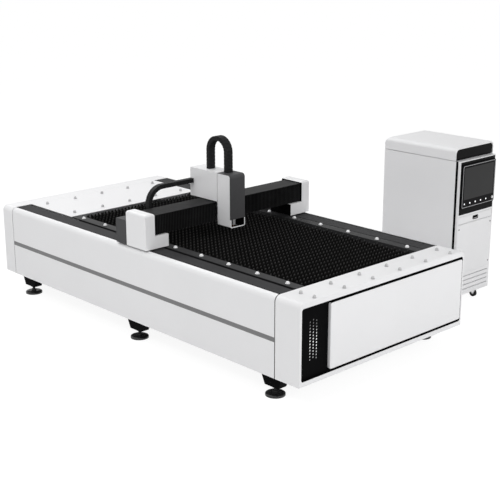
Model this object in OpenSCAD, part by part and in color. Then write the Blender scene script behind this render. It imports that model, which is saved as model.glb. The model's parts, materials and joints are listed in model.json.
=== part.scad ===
// Open-bed fiber laser cutting machine with its control cabinet, in millimetres.
// +X runs along the bed towards the end with the front panel, +Y towards the cabinet, +Z up.
// The floor is z = 0 and the origin is the middle of the whole footprint.

/* [Bed] */
// Length of the bed over its two end caps
bed_l = 4680; // [4400:10:5200]
// Width of the bed over its side panels
bed_w = 2280; // [2240:10:2400]
// Height of the end cap tops above the floor
bed_top = 970; // [940:5:1040]
// Height of the lower edge of the panels above the floor
skirt_z = 206; // [190:2:240]
// Radius of the long top edges
edge_r = 60; // [54:1:70]
// Thickness of the panels
sheet = 6; // [5:0.5:8]
// Length of the front end cap
front_cap_l = 300; // [285:5:330]
// Length of the rear end cap
rear_cap_l = 190; // [170:5:240]
// Gap between panels
seam = 4; // [2:0.5:6]
// Height above the floor of the grey strip along each side
groove_z = 543; // [480:1:600]
// Height of the grey strip
groove_h = 44; // [30:1:60]
// Depth of the groove for the strip
groove_d = 3.5; // [2:0.5:4]
// Thickness of the grey strip
strip_t = 2.5; // [1:0.5:3]

/* [Frame] */
// Width of each side girder
girder_w = 234; // [220:2:250]
// Height of the underside of the girders above the floor
girder_z = 230; // [225:1:250]
// Height of each girder
girder_h = 630; // [600:5:640]
// Wall of the girders and cross beams
tube_t = 12; // [8:1:20]
// Gap from a girder's end to the bed's end
girder_gap = 60; // [50:5:90]
// Side of the square cross beams
cross_s = 100; // [80:5:120]
// Height of the underside of the cross beams
cross_z = 330; // [300:5:360]
// Number of cross beams
cross_n = 6; // [4:1:8]

/* [Front] */
// Margin from the side faces to the front recess
recess_m = 22; // [18:1:40]
// Height of the lower edge of the front recess above the skirt
recess_lip = 47; // [40:1:80]
// Depth of the recess top below the cap top
recess_top = 56; // [46:1:80]
// Depth of the front recess
recess_d = 30; // [20:1:45]
// Corner radius of the front recess
recess_r = 24; // [10:1:40]
// Thickness of the black fascia
fascia_t = 4; // [3:0.5:6]
// Width of the black fascia beside the front panel
vent_w = 262; // [220:2:320]
// Gap above and below the front panel
panel_gap = 18; // [8:1:24]
// Bevel of the front panel's edge
panel_bevel = 8; // [3:1:14]
// Columns of air holes
vent_cols = 3; // [2:1:4]
// Rows of air holes
vent_rows = 15; // [9:1:17]
// Radius of an air hole
vent_r = 7; // [4:0.5:8]
// Distance between air hole columns
vent_dx = 42; // [30:1:48]
// Distance between air hole rows
vent_dz = 33; // [24:1:35]

/* [Deck] */
// Distance from the bed's side face to the outer slit
slit_out = 52; // [48:1:58]
// Width of the outer slit
slit_out_w = 10; // [9:0.5:14]
// Width of each way cover strip
way_w = 173; // [165:1:180]
// Width of the inner slit
slit_in_w = 24; // [22:1:30]
// Thickness of a way cover strip
way_t = 4; // [2:0.5:6]
// Length of way cover under each end cap
way_lap = 20; // [10:1:40]
// Width of each ledge beside the slats
ledge_w = 106; // [96:1:120]
// Thickness of a ledge's flanges
ledge_t = 10; // [8:0.5:14]
// Height of a ledge's section
ledge_h = 210; // [190:2:230]
// Reach of the lip that the slats stand on
lip_w = 40; // [30:1:60]
// Length of the rear deck plate from the rear end cap
rear_plate_l = 790; // [700:5:850]
// Thickness of the rear deck plate
plate_t = 6; // [4:0.5:8]
// Pitch of the ledge bolts
ledge_bolt_pitch = 385.5; // [330:0.5:400]
// Ledge bolts on each side
ledge_bolt_n = 9; // [6:1:9]
// Radius of a deck bolt's domed head
bolt_r = 17; // [10:0.5:18]
// Height of a deck bolt's head
bolt_h = 12; // [6:0.5:14]
// Pitch of the plate bolts across the bed
plate_bolt_pitch = 377; // [330:1:390]

/* [Slats] */
// Pitch of the slats
slat_pitch = 75; // [60:1:100]
// Thickness of a slat
slat_t = 6; // [3:0.5:8]
// Height of a slat
slat_h = 100; // [90:1:106]
// Depth of the teeth tips below the bed's top
slat_drop = 15; // [10:1:20]
// Pitch of the teeth
tooth_pitch = 50; // [40:1:80]
// Depth of the teeth
tooth_h = 32; // [20:1:45]
// Gap at each end of a slat
slat_gap = 2; // [1:0.5:4]
// Height of the slag tray's walls
tray_h = 270; // [200:5:320]
// Thickness of the slag tray
tray_t = 4; // [3:0.5:6]
// Gap from the slag tray to the ledges
tray_gap = 10; // [6:1:20]

/* [Feet] */
// Distance of the end feet from the bed's middle
foot_dx = 1950; // [1800:10:2000]
// Distance of the feet from the side face
foot_in = 100; // [94:1:112]
// Length of a foot bracket at the top
bracket_l = 300; // [260:5:340]
// Length of a foot bracket at the bottom
bracket_b = 170; // [110:5:200]
// Thickness of a foot bracket
bracket_w = 100; // [80:2:110]
// Height of the foot brackets' underside above the floor
bracket_z = 90; // [80:1:110]
// Radius of a foot pad
pad_r = 92; // [70:1:94]
// Height of a foot pad
pad_h = 46; // [36:1:56]
// Radius of a levelling stud
stud_r = 14; // [10:0.5:18]
// Height of a jam nut
nut_h = 18; // [12:1:24]

/* [Ways] */
// Width of the long rails
x_rail_w = 30; // [24:1:36]
// Height of the long rails
x_rail_h = 28; // [22:1:32]
// Width of the long racks
x_rack_w = 25; // [20:1:30]
// Radius of the pinions on the long racks
x_pinion_r = 22; // [18:0.5:24]
// Running clearance between sliding pieces
run = 0.3; // [0.2:0.05:0.6]
// Clearance of a turning shaft in its bore
fit = 0.05; // [0.02:0.01:0.1]

/* [Gantry] */
// Distance of the gantry beam's rear face from the bed's middle
beam_x = 0; // [-400:5:400]
// Depth of the gantry beam
beam_d = 150; // [130:2:180]
// Height of the gantry beam's underside above the bed's top
beam_z = 135; // [125:1:160]
// Height of the gantry beam
beam_h = 195; // [185:1:220]
// Wall of the gantry beam
beam_t = 10; // [6:0.5:14]
// Thickness of the beam's top cover
top_cover_t = 8; // [4:0.5:10]
// Depth of the beam's top cover
top_cover_d = 246; // [240:1:248]
// Thickness of the gantry's end and motor covers
cover_t = 5; // [3:0.5:6]
// Depth of an end cover along the bed
end_cover_l = 307; // [295:1:330]
// Length of an end cover behind the beam
end_cover_back = 45; // [35:1:50]
// Height of an end cover above the bed's top
end_cover_h = 360; // [350:1:390]
// Width of an end cover's upper part
end_cover_w = 115; // [105:1:125]
// Height of an end cover's foot
end_foot_h = 127; // [122:1:135]
// Corner radius of the end covers
end_cover_r = 26; // [10:1:40]
// Gap from the end covers to the bed's side faces
end_in = 10; // [6:1:20]
// Gap from the covers to the bed's top
cover_gap = 8; // [6:1:12]
// Depth of a motor cover along the bed
motor_cover_l = 165; // [150:1:180]
// Height of a motor cover
motor_cover_h = 248; // [240:1:280]
// Side of an X motor
x_motor_s = 76; // [60:1:78]
// Height of an X motor
x_motor_h = 180; // [150:1:190]
// Pitch of the bellows folds
fold_pitch = 20; // [16:0.5:26]
// Depth of the bellows folds
fold_d = 22; // [14:0.5:26]

/* [Carriage] */
// Distance of the cutting head from the bed's middle line
head_y = -115; // [-300:5:300]
// Width of the head housings
head_w = 197; // [190:1:220]
// Depth of the front head housing
head_d = 195; // [188:1:220]
// Height of the front head housing
head_h = 541; // [530:1:570]
// Height of the head housings' tops above the bed's top
head_top = 642; // [636:1:670]
// Wall of the head housings
head_t = 5; // [3:0.5:6]
// Corner radius of the front head cover
head_r = 24; // [10:1:36]
// Depth of the rear head housing
rear_d = 414; // [405:1:430]
// Gap between the head housings
head_gap = 6; // [4:0.5:10]
// Thickness of the carriage plate
carriage_t = 14; // [12:0.5:18]
// Thickness of the dark front cover
front_cover_t = 12; // [8:0.5:16]
// Height of the window below the dark front cover
window_h = 74; // [60:1:90]
// Width of the white rim round the window
rim_w = 12; // [9:0.5:16]
// Radius of the rim's lower corners
rim_r = 18; // [12:1:24]
// Radius of the lifting screw
screw_r = 8; // [6:0.5:10]
// Radius of the pinion on the beam's rack
y_pinion_r = 20; // [16:0.5:22]
// Length of nozzle showing below the head housing
nozzle_out = 19; // [10:1:24]

/* [Cable chains] */
// Thickness of the chains
chain_t = 45; // [36:1:48]
// Width of the lifting chain
z_chain_w = 80; // [60:1:100]
// Distance between the legs of the lifting chain
z_chain_span = 265; // [250:1:280]
// Height of the lifting chain's straight legs
z_chain_leg = 200; // [150:1:240]
// Distance of the lifting chain's rear leg from the beam's rear face
z_chain_x = 40; // [35:1:60]
// Width of the beam's chain
y_chain_w = 55; // [40:1:60]
// Radius of the beam chain's bend at its middle
y_chain_r = 165; // [150:1:170]
// Distance from the motor cover to the beam chain's bend
y_chain_clear = 40; // [20:1:70]
// Length of the beam chain's lower run
y_chain_low = 770; // [650:5:800]
// Pitch of the chain links
link_pitch = 36; // [28:1:50]
// Depth of the grooves between links
link_d = 3; // [1:0.5:5]

/* [Cabinet] */
// Distance from the bed's side to the cabinet
aisle = 790; // [600:1:1000]
// Distance of the cabinet's middle from the bed's middle, along the bed
cab_x = 1155; // [900:5:1400]
// Width of the cabinet
cab_w = 664; // [620:1:710]
// Depth of the cabinet's side panels
cab_d = 960; // [900:5:1000]
// Height of the cabinet above the floor
cab_h = 1760; // [1720:5:1820]
// Height of the cabinet's underside above the floor
cab_z = 124; // [118:1:134]
// Height of the cabinet's top cap
cab_cap_h = 138; // [120:1:150]
// Wall of the cabinet
cab_t = 5; // [3:0.5:6]
// Radius of the cabinet's upper rear corner
cab_r = 80; // [40:1:90]
// Radius of the cap's long edges
cap_r = 50; // [30:1:60]
// Distance that the cabinet's front box stands out
front_out = 50; // [40:1:70]
// Width of the black groove beside the front
front_groove = 18; // [12:1:24]
// Depth of the black groove beside the front
front_groove_d = 20; // [10:1:24]
// Height of the black control fascia's lower edge above the floor
fascia_z = 1038; // [1000:2:1060]
// Height of the cap's lip above the black upper front
fascia_top = 20; // [14:1:30]
// Width of the white rim beside the control fascia
fascia_rim = 9; // [7:0.5:12]
// Thickness of the control fascia
glass_t = 10; // [6:0.5:14]
// Height of the screen's bezel
screen_h = 472; // [400:2:480]
// Height of the bezel's lower edge above the control fascia's
screen_z = 70; // [60:1:90]
// Height of the power button above the bezel's lower edge
button_z = 50; // [40:1:60]
// Thickness of the screen's bezel
screen_t = 20; // [10:1:24]
// Height of the keyboard drawer's front
drawer_h = 82; // [76:1:90]
// Height of the white band above the drawer
drawer_band = 20; // [14:1:30]
// Height of the drawer's runners
runner_h = 10; // [6:1:14]
// Width of the drawer's runners
runner_w = 24; // [16:1:30]
// Depth of the keyboard drawer
drawer_d = 380; // [300:5:420]
// Gap round the drawer's front
drawer_gap = 3; // [2:0.5:5]
// Radius of the power button
button_r = 15; // [10:0.5:18]
// Height of the louvred front below the service panel
plinth_h = 256; // [230:2:280]
// Rows of louvres
louvre_n = 4; // [2:1:5]
// Height of a louvre
louvre_h = 8; // [4:1:14]
// Pitch of the louvres
louvre_dz = 50; // [30:1:52]
// Radius of a castor's wheel
wheel_r = 40; // [34:1:44]
// Width of a castor's wheel
wheel_w = 28; // [22:1:32]
// Distance of the castors from the cabinet's ends
castor_in = 80; // [75:1:130]
// Distance of the castors from the cabinet's sides
castor_side = 130; // [90:1:150]
// Offset of a swivel castor's wheel from its swivel
castor_trail = 30; // [20:1:36]

/* [Hidden] */
$fn = 48;

// Overrun of every cut past the faces that it opens
over = 2;

// Places of the bed and the cabinet in the shared frame
overall_w = bed_w + aisle + cab_w;
bed_y = (bed_w - overall_w) / 2;
cab_y = (overall_w - cab_w) / 2;
half_l = bed_l / 2;
half_w = bed_w / 2;

// Heights in the frame
girder_top = girder_z + girder_h;
girder_out = half_w - sheet;
girder_in = girder_out - girder_w;
girder_l = bed_l - 2 * girder_gap;
cap_under = bed_top - sheet;

// Lines along the deck, counted from the bed's middle line
flange_y = half_w - slit_out;
way_out = flange_y - slit_out_w;
way_in = way_out - way_w;
ledge_out = way_in - slit_in_w;
ledge_in = ledge_out - ledge_w;
front_seam = half_l - front_cap_l;
rear_seam = -half_l + rear_cap_l;
way_front = front_seam + seam / 2 + way_lap;
way_rear = rear_seam - seam / 2 - way_lap;
way_top = cap_under;
well_rear = rear_seam + rear_plate_l;
well_front = front_seam - seam / 2;
well_l = well_front - well_rear;
ledge_base = bed_top - ledge_h;
dome_rim = 1;
dome_h = bolt_h * 3 / 4;
dome_r = (pow(bolt_r - dome_rim, 2) + dome_h * dome_h) / (2 * dome_h);
deck_leg_y = (ledge_out + way_in) / 2 - 2 * x_pinion_r;

// Slats
slat_top = bed_top - slat_drop;
slat_base = slat_top - slat_h;
slat_l = 2 * (ledge_in - slat_gap);
slat_n = floor((well_l - slat_pitch) / slat_pitch);
slat_x0 = well_rear + (well_l - (slat_n - 1) * slat_pitch) / 2;
tooth_n = floor(slat_l / tooth_pitch);
tooth_w = slat_l / tooth_n;
tray_floor = cross_z + cross_s;
tray_y = ledge_in - lip_w + ledge_t;

// Front recess
recess_z0 = skirt_z + recess_lip;
recess_z1 = bed_top - recess_top;
recess_y = half_w - recess_m;
fascia_x = half_l - recess_d;
panel_y0 = -recess_y + vent_w;
vent_y = -recess_y + vent_w / 2;
vent_z = (recess_z0 + recess_z1) / 2;

// Long ways
x_rail_y = (way_in + way_out) / 2;
x_rail_top = girder_top + x_rail_h;
x_pinion_y = (ledge_out + way_in) / 2;
x_rack_y = x_pinion_y + x_pinion_r + run;
x_shaft_r = 7;
x_pinion_h = 22;
rail_end = 20;
way_l = way_front - way_rear - 2 * rail_end;
way_mid = (way_front + way_rear) / 2;
pad_core_share = 0.45;
pad_neck_share = 0.3;

// Gantry, counted from the bed's middle line and top
gantry_out = half_w - end_in;
beam_base = bed_top + beam_z;
beam_top = beam_base + beam_h;
beam_y = gantry_out - end_cover_w - cover_t;
cover_z = bed_top + cover_gap;
foot_lap = 33;
cover_in = ledge_out - foot_lap;
end_x0 = beam_x - end_cover_back;
end_x1 = end_x0 + end_cover_l;
end_top = bed_top + end_cover_h;
end_upper_in = gantry_out - end_cover_w;
motor_x1 = end_x0 - seam / 2;
motor_x0 = motor_x1 - motor_cover_l;
motor_x = (motor_x0 + motor_x1) / 2;
motor_y = x_pinion_y;
saddle_t = 15;
saddle_z = cover_z + cover_gap;
saddle_top = saddle_z + saddle_t;
blade_gap = 2;
blade_out_t = slit_out_w - 2 * blade_gap;
blade_in_t = 10;
under_z = x_rail_top + saddle_t;
block_w = 66;
block_l = 80;
riser_m = 20;
block_lift = 6;

// Beam rails, rack and bellows
y_rail_s = 20;
y_rail_low = beam_base + beam_h / 6;
y_rail_high = beam_top - beam_h / 6;
beam_front = beam_x + beam_d;
y_rail_l = 2 * (beam_y - rail_end);
y_rack_w = 25;
y_rack_h = 20;
y_rack_drop = 10;
y_rack_z = beam_top - y_rack_drop - y_rack_h;
y_pinion_x = beam_x - y_rack_w - run - y_pinion_r;
y_pinion_in = 2;
y_pinion_h = y_rack_h - y_pinion_in;
y_shaft_r = 7;
bellows_in = 4;
bellows_x1 = beam_x + top_cover_d - bellows_in;
bellows_m = 3;
fold_wall = 12;

// Head and carriage
head_y0 = head_y - head_w / 2;
head_y1 = head_y + head_w / 2;
carriage_gap = 4;
carriage_x0 = beam_x + top_cover_d + carriage_gap;
carriage_x1 = carriage_x0 + carriage_t;
head_x0 = carriage_x1 + head_gap;
head_x1 = head_x0 + head_d;
head_z1 = bed_top + head_top;
head_z0 = head_z1 - head_h;
head_face = head_x1 - front_cover_t;
cover_low = head_z0 + rim_w + window_h;
rear_x1 = carriage_x1;
rear_x0 = rear_x1 - rear_d;
rear_gap = 6;
rear_z0 = beam_top + top_cover_t + rear_gap;
floor_top = rear_z0 + head_t;
plate_low = beam_base + rear_gap;
plate_high = head_z1 - 2 * head_t;
y_motor_s = 84;
y_motor_h = 150;
z_rail_w = 15;
z_rail_d = 16;
z_rail_y = 65;
z_rail_in = 2;
z_rail_low = plate_low + z_rail_in;
z_screw_out = 32;
z_screw_x = carriage_x1 + z_screw_out;
z_bracket_t = 15;
z_bracket_up = 328;
z_bracket_z = z_rail_low + z_bracket_up;
z_motor_s = 60;
z_motor_h = 70;
z_rail_high = z_bracket_z - rail_end;
z_plate_out = 16;
z_plate_x = z_screw_x + z_plate_out;
z_plate_t = 12;
z_plate_up = 70;
z_plate_low = z_rail_low + z_plate_up;
z_plate_h = 196;
z_block_h = 50;
z_block_w = 34;
z_nut_h = 30;
z_nut_w = 40;
nozzle_in = 124;
head_cx = head_x0 + nozzle_in;
optic_w = 70;
optic_h = 170;
body_r = 38;
body_h = 120;
neck_share = 0.7;
optic_drop = 30;
optic_z = z_plate_low + z_plate_h - optic_drop;
nozzle_tip = head_z0 - nozzle_out;
nozzle_h = 34;
nozzle_r = 15;
tip_r = 5;

// Chains
y_chain_in = 2;
y_chain_x = rear_x0 + y_chain_w / 2 + y_chain_in;
y_chain_drop = 137;
y_chain_top = head_z1 - y_chain_drop;
y_chain_run = cover_in + head_y0 - y_chain_clear - y_chain_r - chain_t / 2;
y_chain_low_z = y_chain_top - 2 * y_chain_r;
chain_tray_t = 5;
chain_tray_gap = 0.5;
chain_tray_z = y_chain_low_z - chain_t / 2 - chain_tray_t - chain_tray_gap;
z_chain_r = z_chain_span / 2;
z_chain_x0 = beam_x + z_chain_x + chain_t / 2;

// Cabinet, counted from its own middle
cab_x0 = -(cab_d + front_out) / 2;
cab_x1 = cab_x0 + cab_d;
cab_front = cab_x1 + front_out;
cap_z = cab_h - cab_cap_h;
box_top = cap_z - seam / 2;
fascia_h = box_top - fascia_rim - fascia_z;
groove_x = cab_x1 - front_groove_d;
front_w = cab_w - 2 * front_groove;
fascia_w = front_w - 2 * fascia_rim;
drawer_z0 = fascia_z - drawer_band - drawer_h;
service_z0 = cab_z + plinth_h;
service_z1 = drawer_z0 - 2 * drawer_gap;
service_t = 4;
handle_w = 70;
handle_h = 22;
handle_d = 12;
button_travel = 4;
fork_t = 4;
fork_plate_t = 6;
axle_r = 6;
castor_y = cab_w / 2 - castor_side;
wheel_gap = 2;

module at_bed() translate([0, bed_y, 0]) children();
module at_cabinet() translate([cab_x, cab_y, 0]) children();
module both_sides() {
  children();
  mirror([0, 1, 0]) children();
}

// Extrudes a section drawn in Y and Z along X, between two places
module along_x(x0, x1) translate([x0, 0, 0]) rotate([90, 0, 90]) linear_extrude(x1 - x0) children();
// Extrudes a section drawn in X and Z along Y, between two places
module along_y(y0, y1) translate([0, y1, 0]) rotate([90, 0, 0]) linear_extrude(y1 - y0) children();
// A block between two corners
module span(a, b) translate(a) cube(b - a);
module plate2d(a, b) translate(a) square(b - a);
module round2d(a, b, r) {
  plate2d([a.x + r, a.y], [b.x - r, b.y]);
  plate2d([a.x, a.y + r], [b.x, b.y - r]);
  for (x = [a.x + r, b.x - r], y = [a.y + r, b.y - r]) translate([x, y]) circle(r);
}
// The same with only its two upper corners round
module arch2d(a, b, r) {
  plate2d(a, [b.x, b.y - r]);
  plate2d([a.x + r, a.y], [b.x - r, b.y]);
  for (x = [a.x + r, b.x - r]) translate([x, b.y - r]) circle(r);
}

// Bed body
module skin2d(inset) arch2d([-half_w + inset, skirt_z], [half_w - inset, bed_top - inset], edge_r - inset);
module hollow2d() {
  skin2d(sheet);
  translate([0, -over]) skin2d(sheet);
}
module side2d() intersection() {
  difference() {
    skin2d(0);
    hollow2d();
    plate2d([-half_w - over, 0], [flange_y, bed_top + over]);
    plate2d([half_w - groove_d, groove_z], [half_w + over, groove_z + groove_h]);
  }
  plate2d([flange_y, skirt_z], [half_w, bed_top]);
}
module cap_shell(x0, x1) difference() {
  along_x(min(x0, x1), max(x0, x1)) skin2d(0);
  along_x(min(x0 - over, x1 + sign(x0 - x1) * sheet), max(x0 + over, x1 + sign(x0 - x1) * sheet)) hollow2d();
}

module side_girders() color("dimgray") at_bed() both_sides()
  along_x(-girder_l / 2, girder_l / 2) difference() {
    plate2d([girder_in, girder_z], [girder_out, girder_top]);
    plate2d([girder_in + tube_t, girder_z + tube_t], [girder_out - tube_t, girder_top - tube_t]);
  }

module cross_beams() color("dimgray") at_bed() for (k = [0 : cross_n - 1])
  translate([(k / (cross_n - 1) - 0.5) * (girder_l - cross_s), 0, 0]) along_y(-girder_in, girder_in)
    difference() {
      plate2d([-cross_s / 2, cross_z], [cross_s / 2, cross_z + cross_s]);
      plate2d([-cross_s / 2 + tube_t, cross_z + tube_t], [cross_s / 2 - tube_t, cross_z + cross_s - tube_t]);
    }

module side_panels() color("gainsboro") at_bed() both_sides()
  along_x(rear_seam + seam / 2, front_seam - seam / 2) side2d();

module side_strips() color("gray") at_bed() both_sides()
  span([rear_seam + seam / 2, half_w - groove_d, groove_z],
       [front_seam - seam / 2, half_w - groove_d + strip_t, groove_z + groove_h]);

module front_end_cap() color("whitesmoke") at_bed() difference() {
  cap_shell(front_seam + seam / 2, half_l);
  along_x(half_l - sheet - over, half_l + over)
    round2d([-recess_y, recess_z0], [recess_y, recess_z1], recess_r);
}

module rear_end_cap() color("whitesmoke") at_bed() cap_shell(rear_seam - seam / 2, -half_l);

module front_fascia() color("black") at_bed() difference() {
  along_x(fascia_x - fascia_t, half_l - sheet) intersection() {
    plate2d([-half_w, recess_z0 - recess_m], [half_w, recess_z1 + recess_m]);
    skin2d(sheet + run);
  }
  along_x(fascia_x, half_l) round2d([-recess_y, recess_z0], [recess_y, recess_z1], recess_r);
  for (c = [0 : vent_cols - 1], r = [0 : vent_rows - 1])
    translate([fascia_x - fascia_t - over, vent_y + (c - (vent_cols - 1) / 2) * vent_dx,
               vent_z + (r - (vent_rows - 1) / 2 + (c % 2) / 2) * vent_dz])
      rotate([0, 90, 0]) cylinder(r = vent_r, h = fascia_t + 2 * over);
}

module front_panel() color("white") at_bed() difference() {
  span([fascia_x, panel_y0, recess_z0 + panel_gap], [half_l, recess_y - seam, recess_z1 - panel_gap]);
  translate([half_l, panel_y0, 0]) rotate([0, 0, 45])
    cube([panel_bevel * sqrt(2), panel_bevel * sqrt(2), 2 * bed_top], center = true);
}

module rear_deck_plate() color("whitesmoke") at_bed() along_x(rear_seam, well_rear - seam / 2) {
  plate2d([-ledge_out, bed_top - plate_t], [ledge_out, bed_top]);
  for (s = [0, 1]) mirror([s, 0]) {
    plate2d([deck_leg_y, ledge_base], [deck_leg_y + plate_t, bed_top]);
    plate2d([deck_leg_y, ledge_base], [girder_in, ledge_base + plate_t]);
  }
}

// Domed bolt head on a washer, standing on z = 0
module dome_bolt() {
  cylinder(r = bolt_r, h = bolt_h / 4);
  translate([0, 0, bolt_h / 4]) rotate_extrude() intersection() {
    square([bolt_r, bolt_h]);
    translate([0, dome_h - dome_r]) circle(dome_r);
  }
}

module plate_bolts() color("silver") at_bed() {
  for (k = [-2.5 : 1 : 2.5], x = [half_l - recess_d, front_seam + recess_top * 2])
    translate([x, k * plate_bolt_pitch, bed_top]) dome_bolt();
  for (k = [-2 : 2], x = [rear_seam + rear_cap_l * 2 / 3, well_rear - rear_cap_l * 2 / 3])
    translate([x, k * plate_bolt_pitch, bed_top]) dome_bolt();
}

module way_covers() color("dimgray") at_bed() both_sides()
  span([way_rear, way_in, way_top - way_t], [way_front, way_out, way_top]);

module ledges() color([0.25, 0.25, 0.26]) at_bed() both_sides() along_x(well_rear, well_front) {
  plate2d([ledge_in, bed_top - ledge_t], [ledge_out, bed_top]);
  plate2d([ledge_in, ledge_base], [ledge_in + ledge_t, bed_top]);
  plate2d([ledge_in - lip_w, slat_base - ledge_t], [ledge_in + ledge_t, slat_base]);
  plate2d([ledge_in, ledge_base], [girder_in, ledge_base + ledge_t]);
}

module ledge_bolts() color("silver") at_bed() both_sides() for (k = [0 : ledge_bolt_n - 1])
  translate([(well_rear + well_front) / 2 + (k - (ledge_bolt_n - 1) / 2) * ledge_bolt_pitch,
             (ledge_in + ledge_out) / 2, bed_top]) dome_bolt();

module slat2d() polygon(concat(
  [[slat_l / 2, slat_base], [-slat_l / 2, slat_base]],
  [for (k = [0 : tooth_n]) each [
    [-slat_l / 2 + k * tooth_w, slat_top - tooth_h],
    if (k < tooth_n) [-slat_l / 2 + (k + 0.5) * tooth_w, slat_top]
  ]]
));

module support_slats() color([0.1, 0.1, 0.1]) at_bed() for (k = [0 : slat_n - 1])
  along_x(slat_x0 + k * slat_pitch - slat_t / 2, slat_x0 + k * slat_pitch + slat_t / 2) slat2d();

module slag_tray() color("dimgray") at_bed() difference() {
  span([well_rear + tray_gap, -tray_y, tray_floor], [well_front - tray_gap, tray_y, tray_floor + tray_h]);
  span([well_rear + tray_gap + tray_t, -tray_y + tray_t, tray_floor + tray_t],
       [well_front - tray_gap - tray_t, tray_y - tray_t, tray_floor + tray_h + over]);
}

// Levelling feet, three under each girder
module at_feet() at_bed() both_sides() for (x = [-foot_dx, 0, foot_dx])
  translate([x, half_w - foot_in, 0]) children();

module foot_brackets() color("black") at_feet() difference() {
  along_y(-bracket_w / 2, bracket_w / 2) polygon([
    [-bracket_l / 2, girder_z], [bracket_l / 2, girder_z],
    [bracket_b / 2, bracket_z], [-bracket_b / 2, bracket_z]
  ]);
  translate([0, 0, bracket_z - over]) cylinder(r = stud_r + run, h = girder_z - bracket_z + 2 * over);
}

module foot_studs() color("silver") at_feet() {
  translate([0, 0, pad_h]) cylinder(r = stud_r, h = girder_z - pad_h);
  translate([0, 0, bracket_z - nut_h]) cylinder(r = stud_r * 2, h = nut_h, $fn = 6);
}

module foot_pads() color("black") at_feet() rotate_extrude() polygon(concat(
  [[0, 0], [pad_r, 0]],
  [for (a = [0 : 15 : 75]) pad_r * [pad_core_share + (1 - pad_core_share) * cos(a), 0] + pad_h / 3 * [0, 1 + sin(a)]],
  [[pad_r * pad_neck_share, pad_h * 2 / 3], [pad_r * pad_neck_share, pad_h], [0, pad_h]]
));

module x_rails() color("silver") at_bed() both_sides()
  span([way_mid - way_l / 2, x_rail_y - x_rail_w / 2, girder_top],
       [way_mid + way_l / 2, x_rail_y + x_rail_w / 2, x_rail_top]);

module x_racks() color("gray") at_bed() both_sides()
  span([way_mid - way_l / 2, x_rack_y, girder_top],
       [way_mid + way_l / 2, x_rack_y + x_rack_w, girder_top + x_pinion_h + 2 * over]);

// Gantry
module gantry_beam() color([0.25, 0.25, 0.26]) at_bed() {
  along_y(-beam_y, beam_y) difference() {
    plate2d([beam_x, beam_base], [beam_front, beam_top]);
    plate2d([beam_x + beam_t, beam_base + beam_t], [beam_front - beam_t, beam_top - beam_t]);
  }
  along_y(head_y0 - y_chain_run - y_chain_r, head_y0 - y_chain_run + y_chain_low) {
    plate2d([y_chain_x - y_chain_w / 2 - 2 * chain_tray_t, chain_tray_z], [beam_x, chain_tray_z + chain_tray_t]);
    plate2d([y_chain_x - y_chain_w / 2 - 2 * chain_tray_t, chain_tray_z],
            [y_chain_x - y_chain_w / 2 - chain_tray_t, chain_tray_z + chain_t]);
  }
}

module beam_top_cover() color([0.28, 0.28, 0.28]) at_bed()
  span([beam_x, -beam_y, beam_top], [beam_x + top_cover_d, beam_y, beam_top + top_cover_t]);

module saddles() color("gray") at_bed() both_sides() difference() {
  union() {
    span([motor_x0 + cover_t, cover_in + cover_t, saddle_z],
         [end_x1 - cover_t, gantry_out - cover_t, saddle_top]);
    span([beam_x, cover_in + riser_m, saddle_top], [beam_front, beam_y, beam_base]);
    span([beam_x, ledge_out + (slit_in_w - blade_in_t) / 2, under_z],
         [beam_front, ledge_out + (slit_in_w + blade_in_t) / 2, saddle_z]);
    span([beam_x, way_out + blade_gap, under_z], [beam_front, way_out + blade_gap + blade_out_t, saddle_z]);
    span([beam_x, ledge_out + (slit_in_w - blade_in_t) / 2, under_z],
         [beam_front, way_out + blade_gap + blade_out_t, under_z + saddle_t]);
    span([beam_x, x_rail_y - block_w / 2, girder_top + block_lift],
         [beam_front, x_rail_y + block_w / 2, under_z + saddle_t]);
  }
  span([beam_x - over, x_rail_y - x_rail_w / 2 - run, girder_top],
       [beam_front + over, x_rail_y + x_rail_w / 2 + run, x_rail_top + run]);
  translate([motor_x, motor_y, saddle_z - over]) cylinder(r = x_shaft_r + blade_gap, h = saddle_t + 2 * over);
}

module end_solid(i) intersection() {
  along_y(cover_in + i, gantry_out - i)
    arch2d([end_x0 + i, cover_z], [end_x1 - i, end_top - i], end_cover_r - i);
  along_x(end_x0, end_x1) union() {
    arch2d([end_upper_in + i, cover_z], [gantry_out - i, end_top - i], end_cover_r - i);
    arch2d([cover_in + i, cover_z], [gantry_out - end_cover_r, cover_z + end_foot_h - i], cover_t * 2 - i);
  }
}
module end_covers() color("whitesmoke") at_bed() both_sides() difference() {
  end_solid(0);
  translate([0, 0, -over]) end_solid(cover_t);
  end_solid_bottom();
  span([beam_x - over, cover_in + riser_m - over, cover_z],
       [beam_front + over, beam_y + over, beam_base + over]);
}
// Opens the end covers at the bottom, and behind where the saddle plate passes
module end_solid_bottom() span([end_x0 - over, cover_in + cover_t, cover_z - over],
                               [end_x1 - cover_t, gantry_out - cover_t, saddle_top]);

module motor_covers() color([0.27, 0.27, 0.28]) at_bed() both_sides() difference() {
  along_y(cover_in, gantry_out)
    arch2d([motor_x0, cover_z], [motor_x1, cover_z + motor_cover_h], cover_t * 2);
  span([motor_x0 + cover_t, cover_in + cover_t, cover_z - over],
       [motor_x1 + over, gantry_out - cover_t, cover_z + motor_cover_h - cover_t]);
}

module x_motors() color([0.15, 0.15, 0.16]) at_bed() both_sides() translate([motor_x, motor_y, saddle_top])
  difference() {
    translate([0, 0, x_motor_h / 2]) cube([x_motor_s, x_motor_s, x_motor_h], center = true);
    translate([0, 0, -over]) cylinder(r = x_shaft_r + fit, h = x_motor_h / 4);
  }

module x_pinion() translate([motor_x, motor_y, girder_top + over]) {
  cylinder(r = x_pinion_r, h = x_pinion_h);
  cylinder(r = x_shaft_r, h = saddle_top + x_motor_h / 8 - girder_top - over);
}
module x_pinion_right() color("silver") at_bed() x_pinion();
module x_pinion_left() color("silver") at_bed() mirror([0, 1, 0]) x_pinion();

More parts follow.
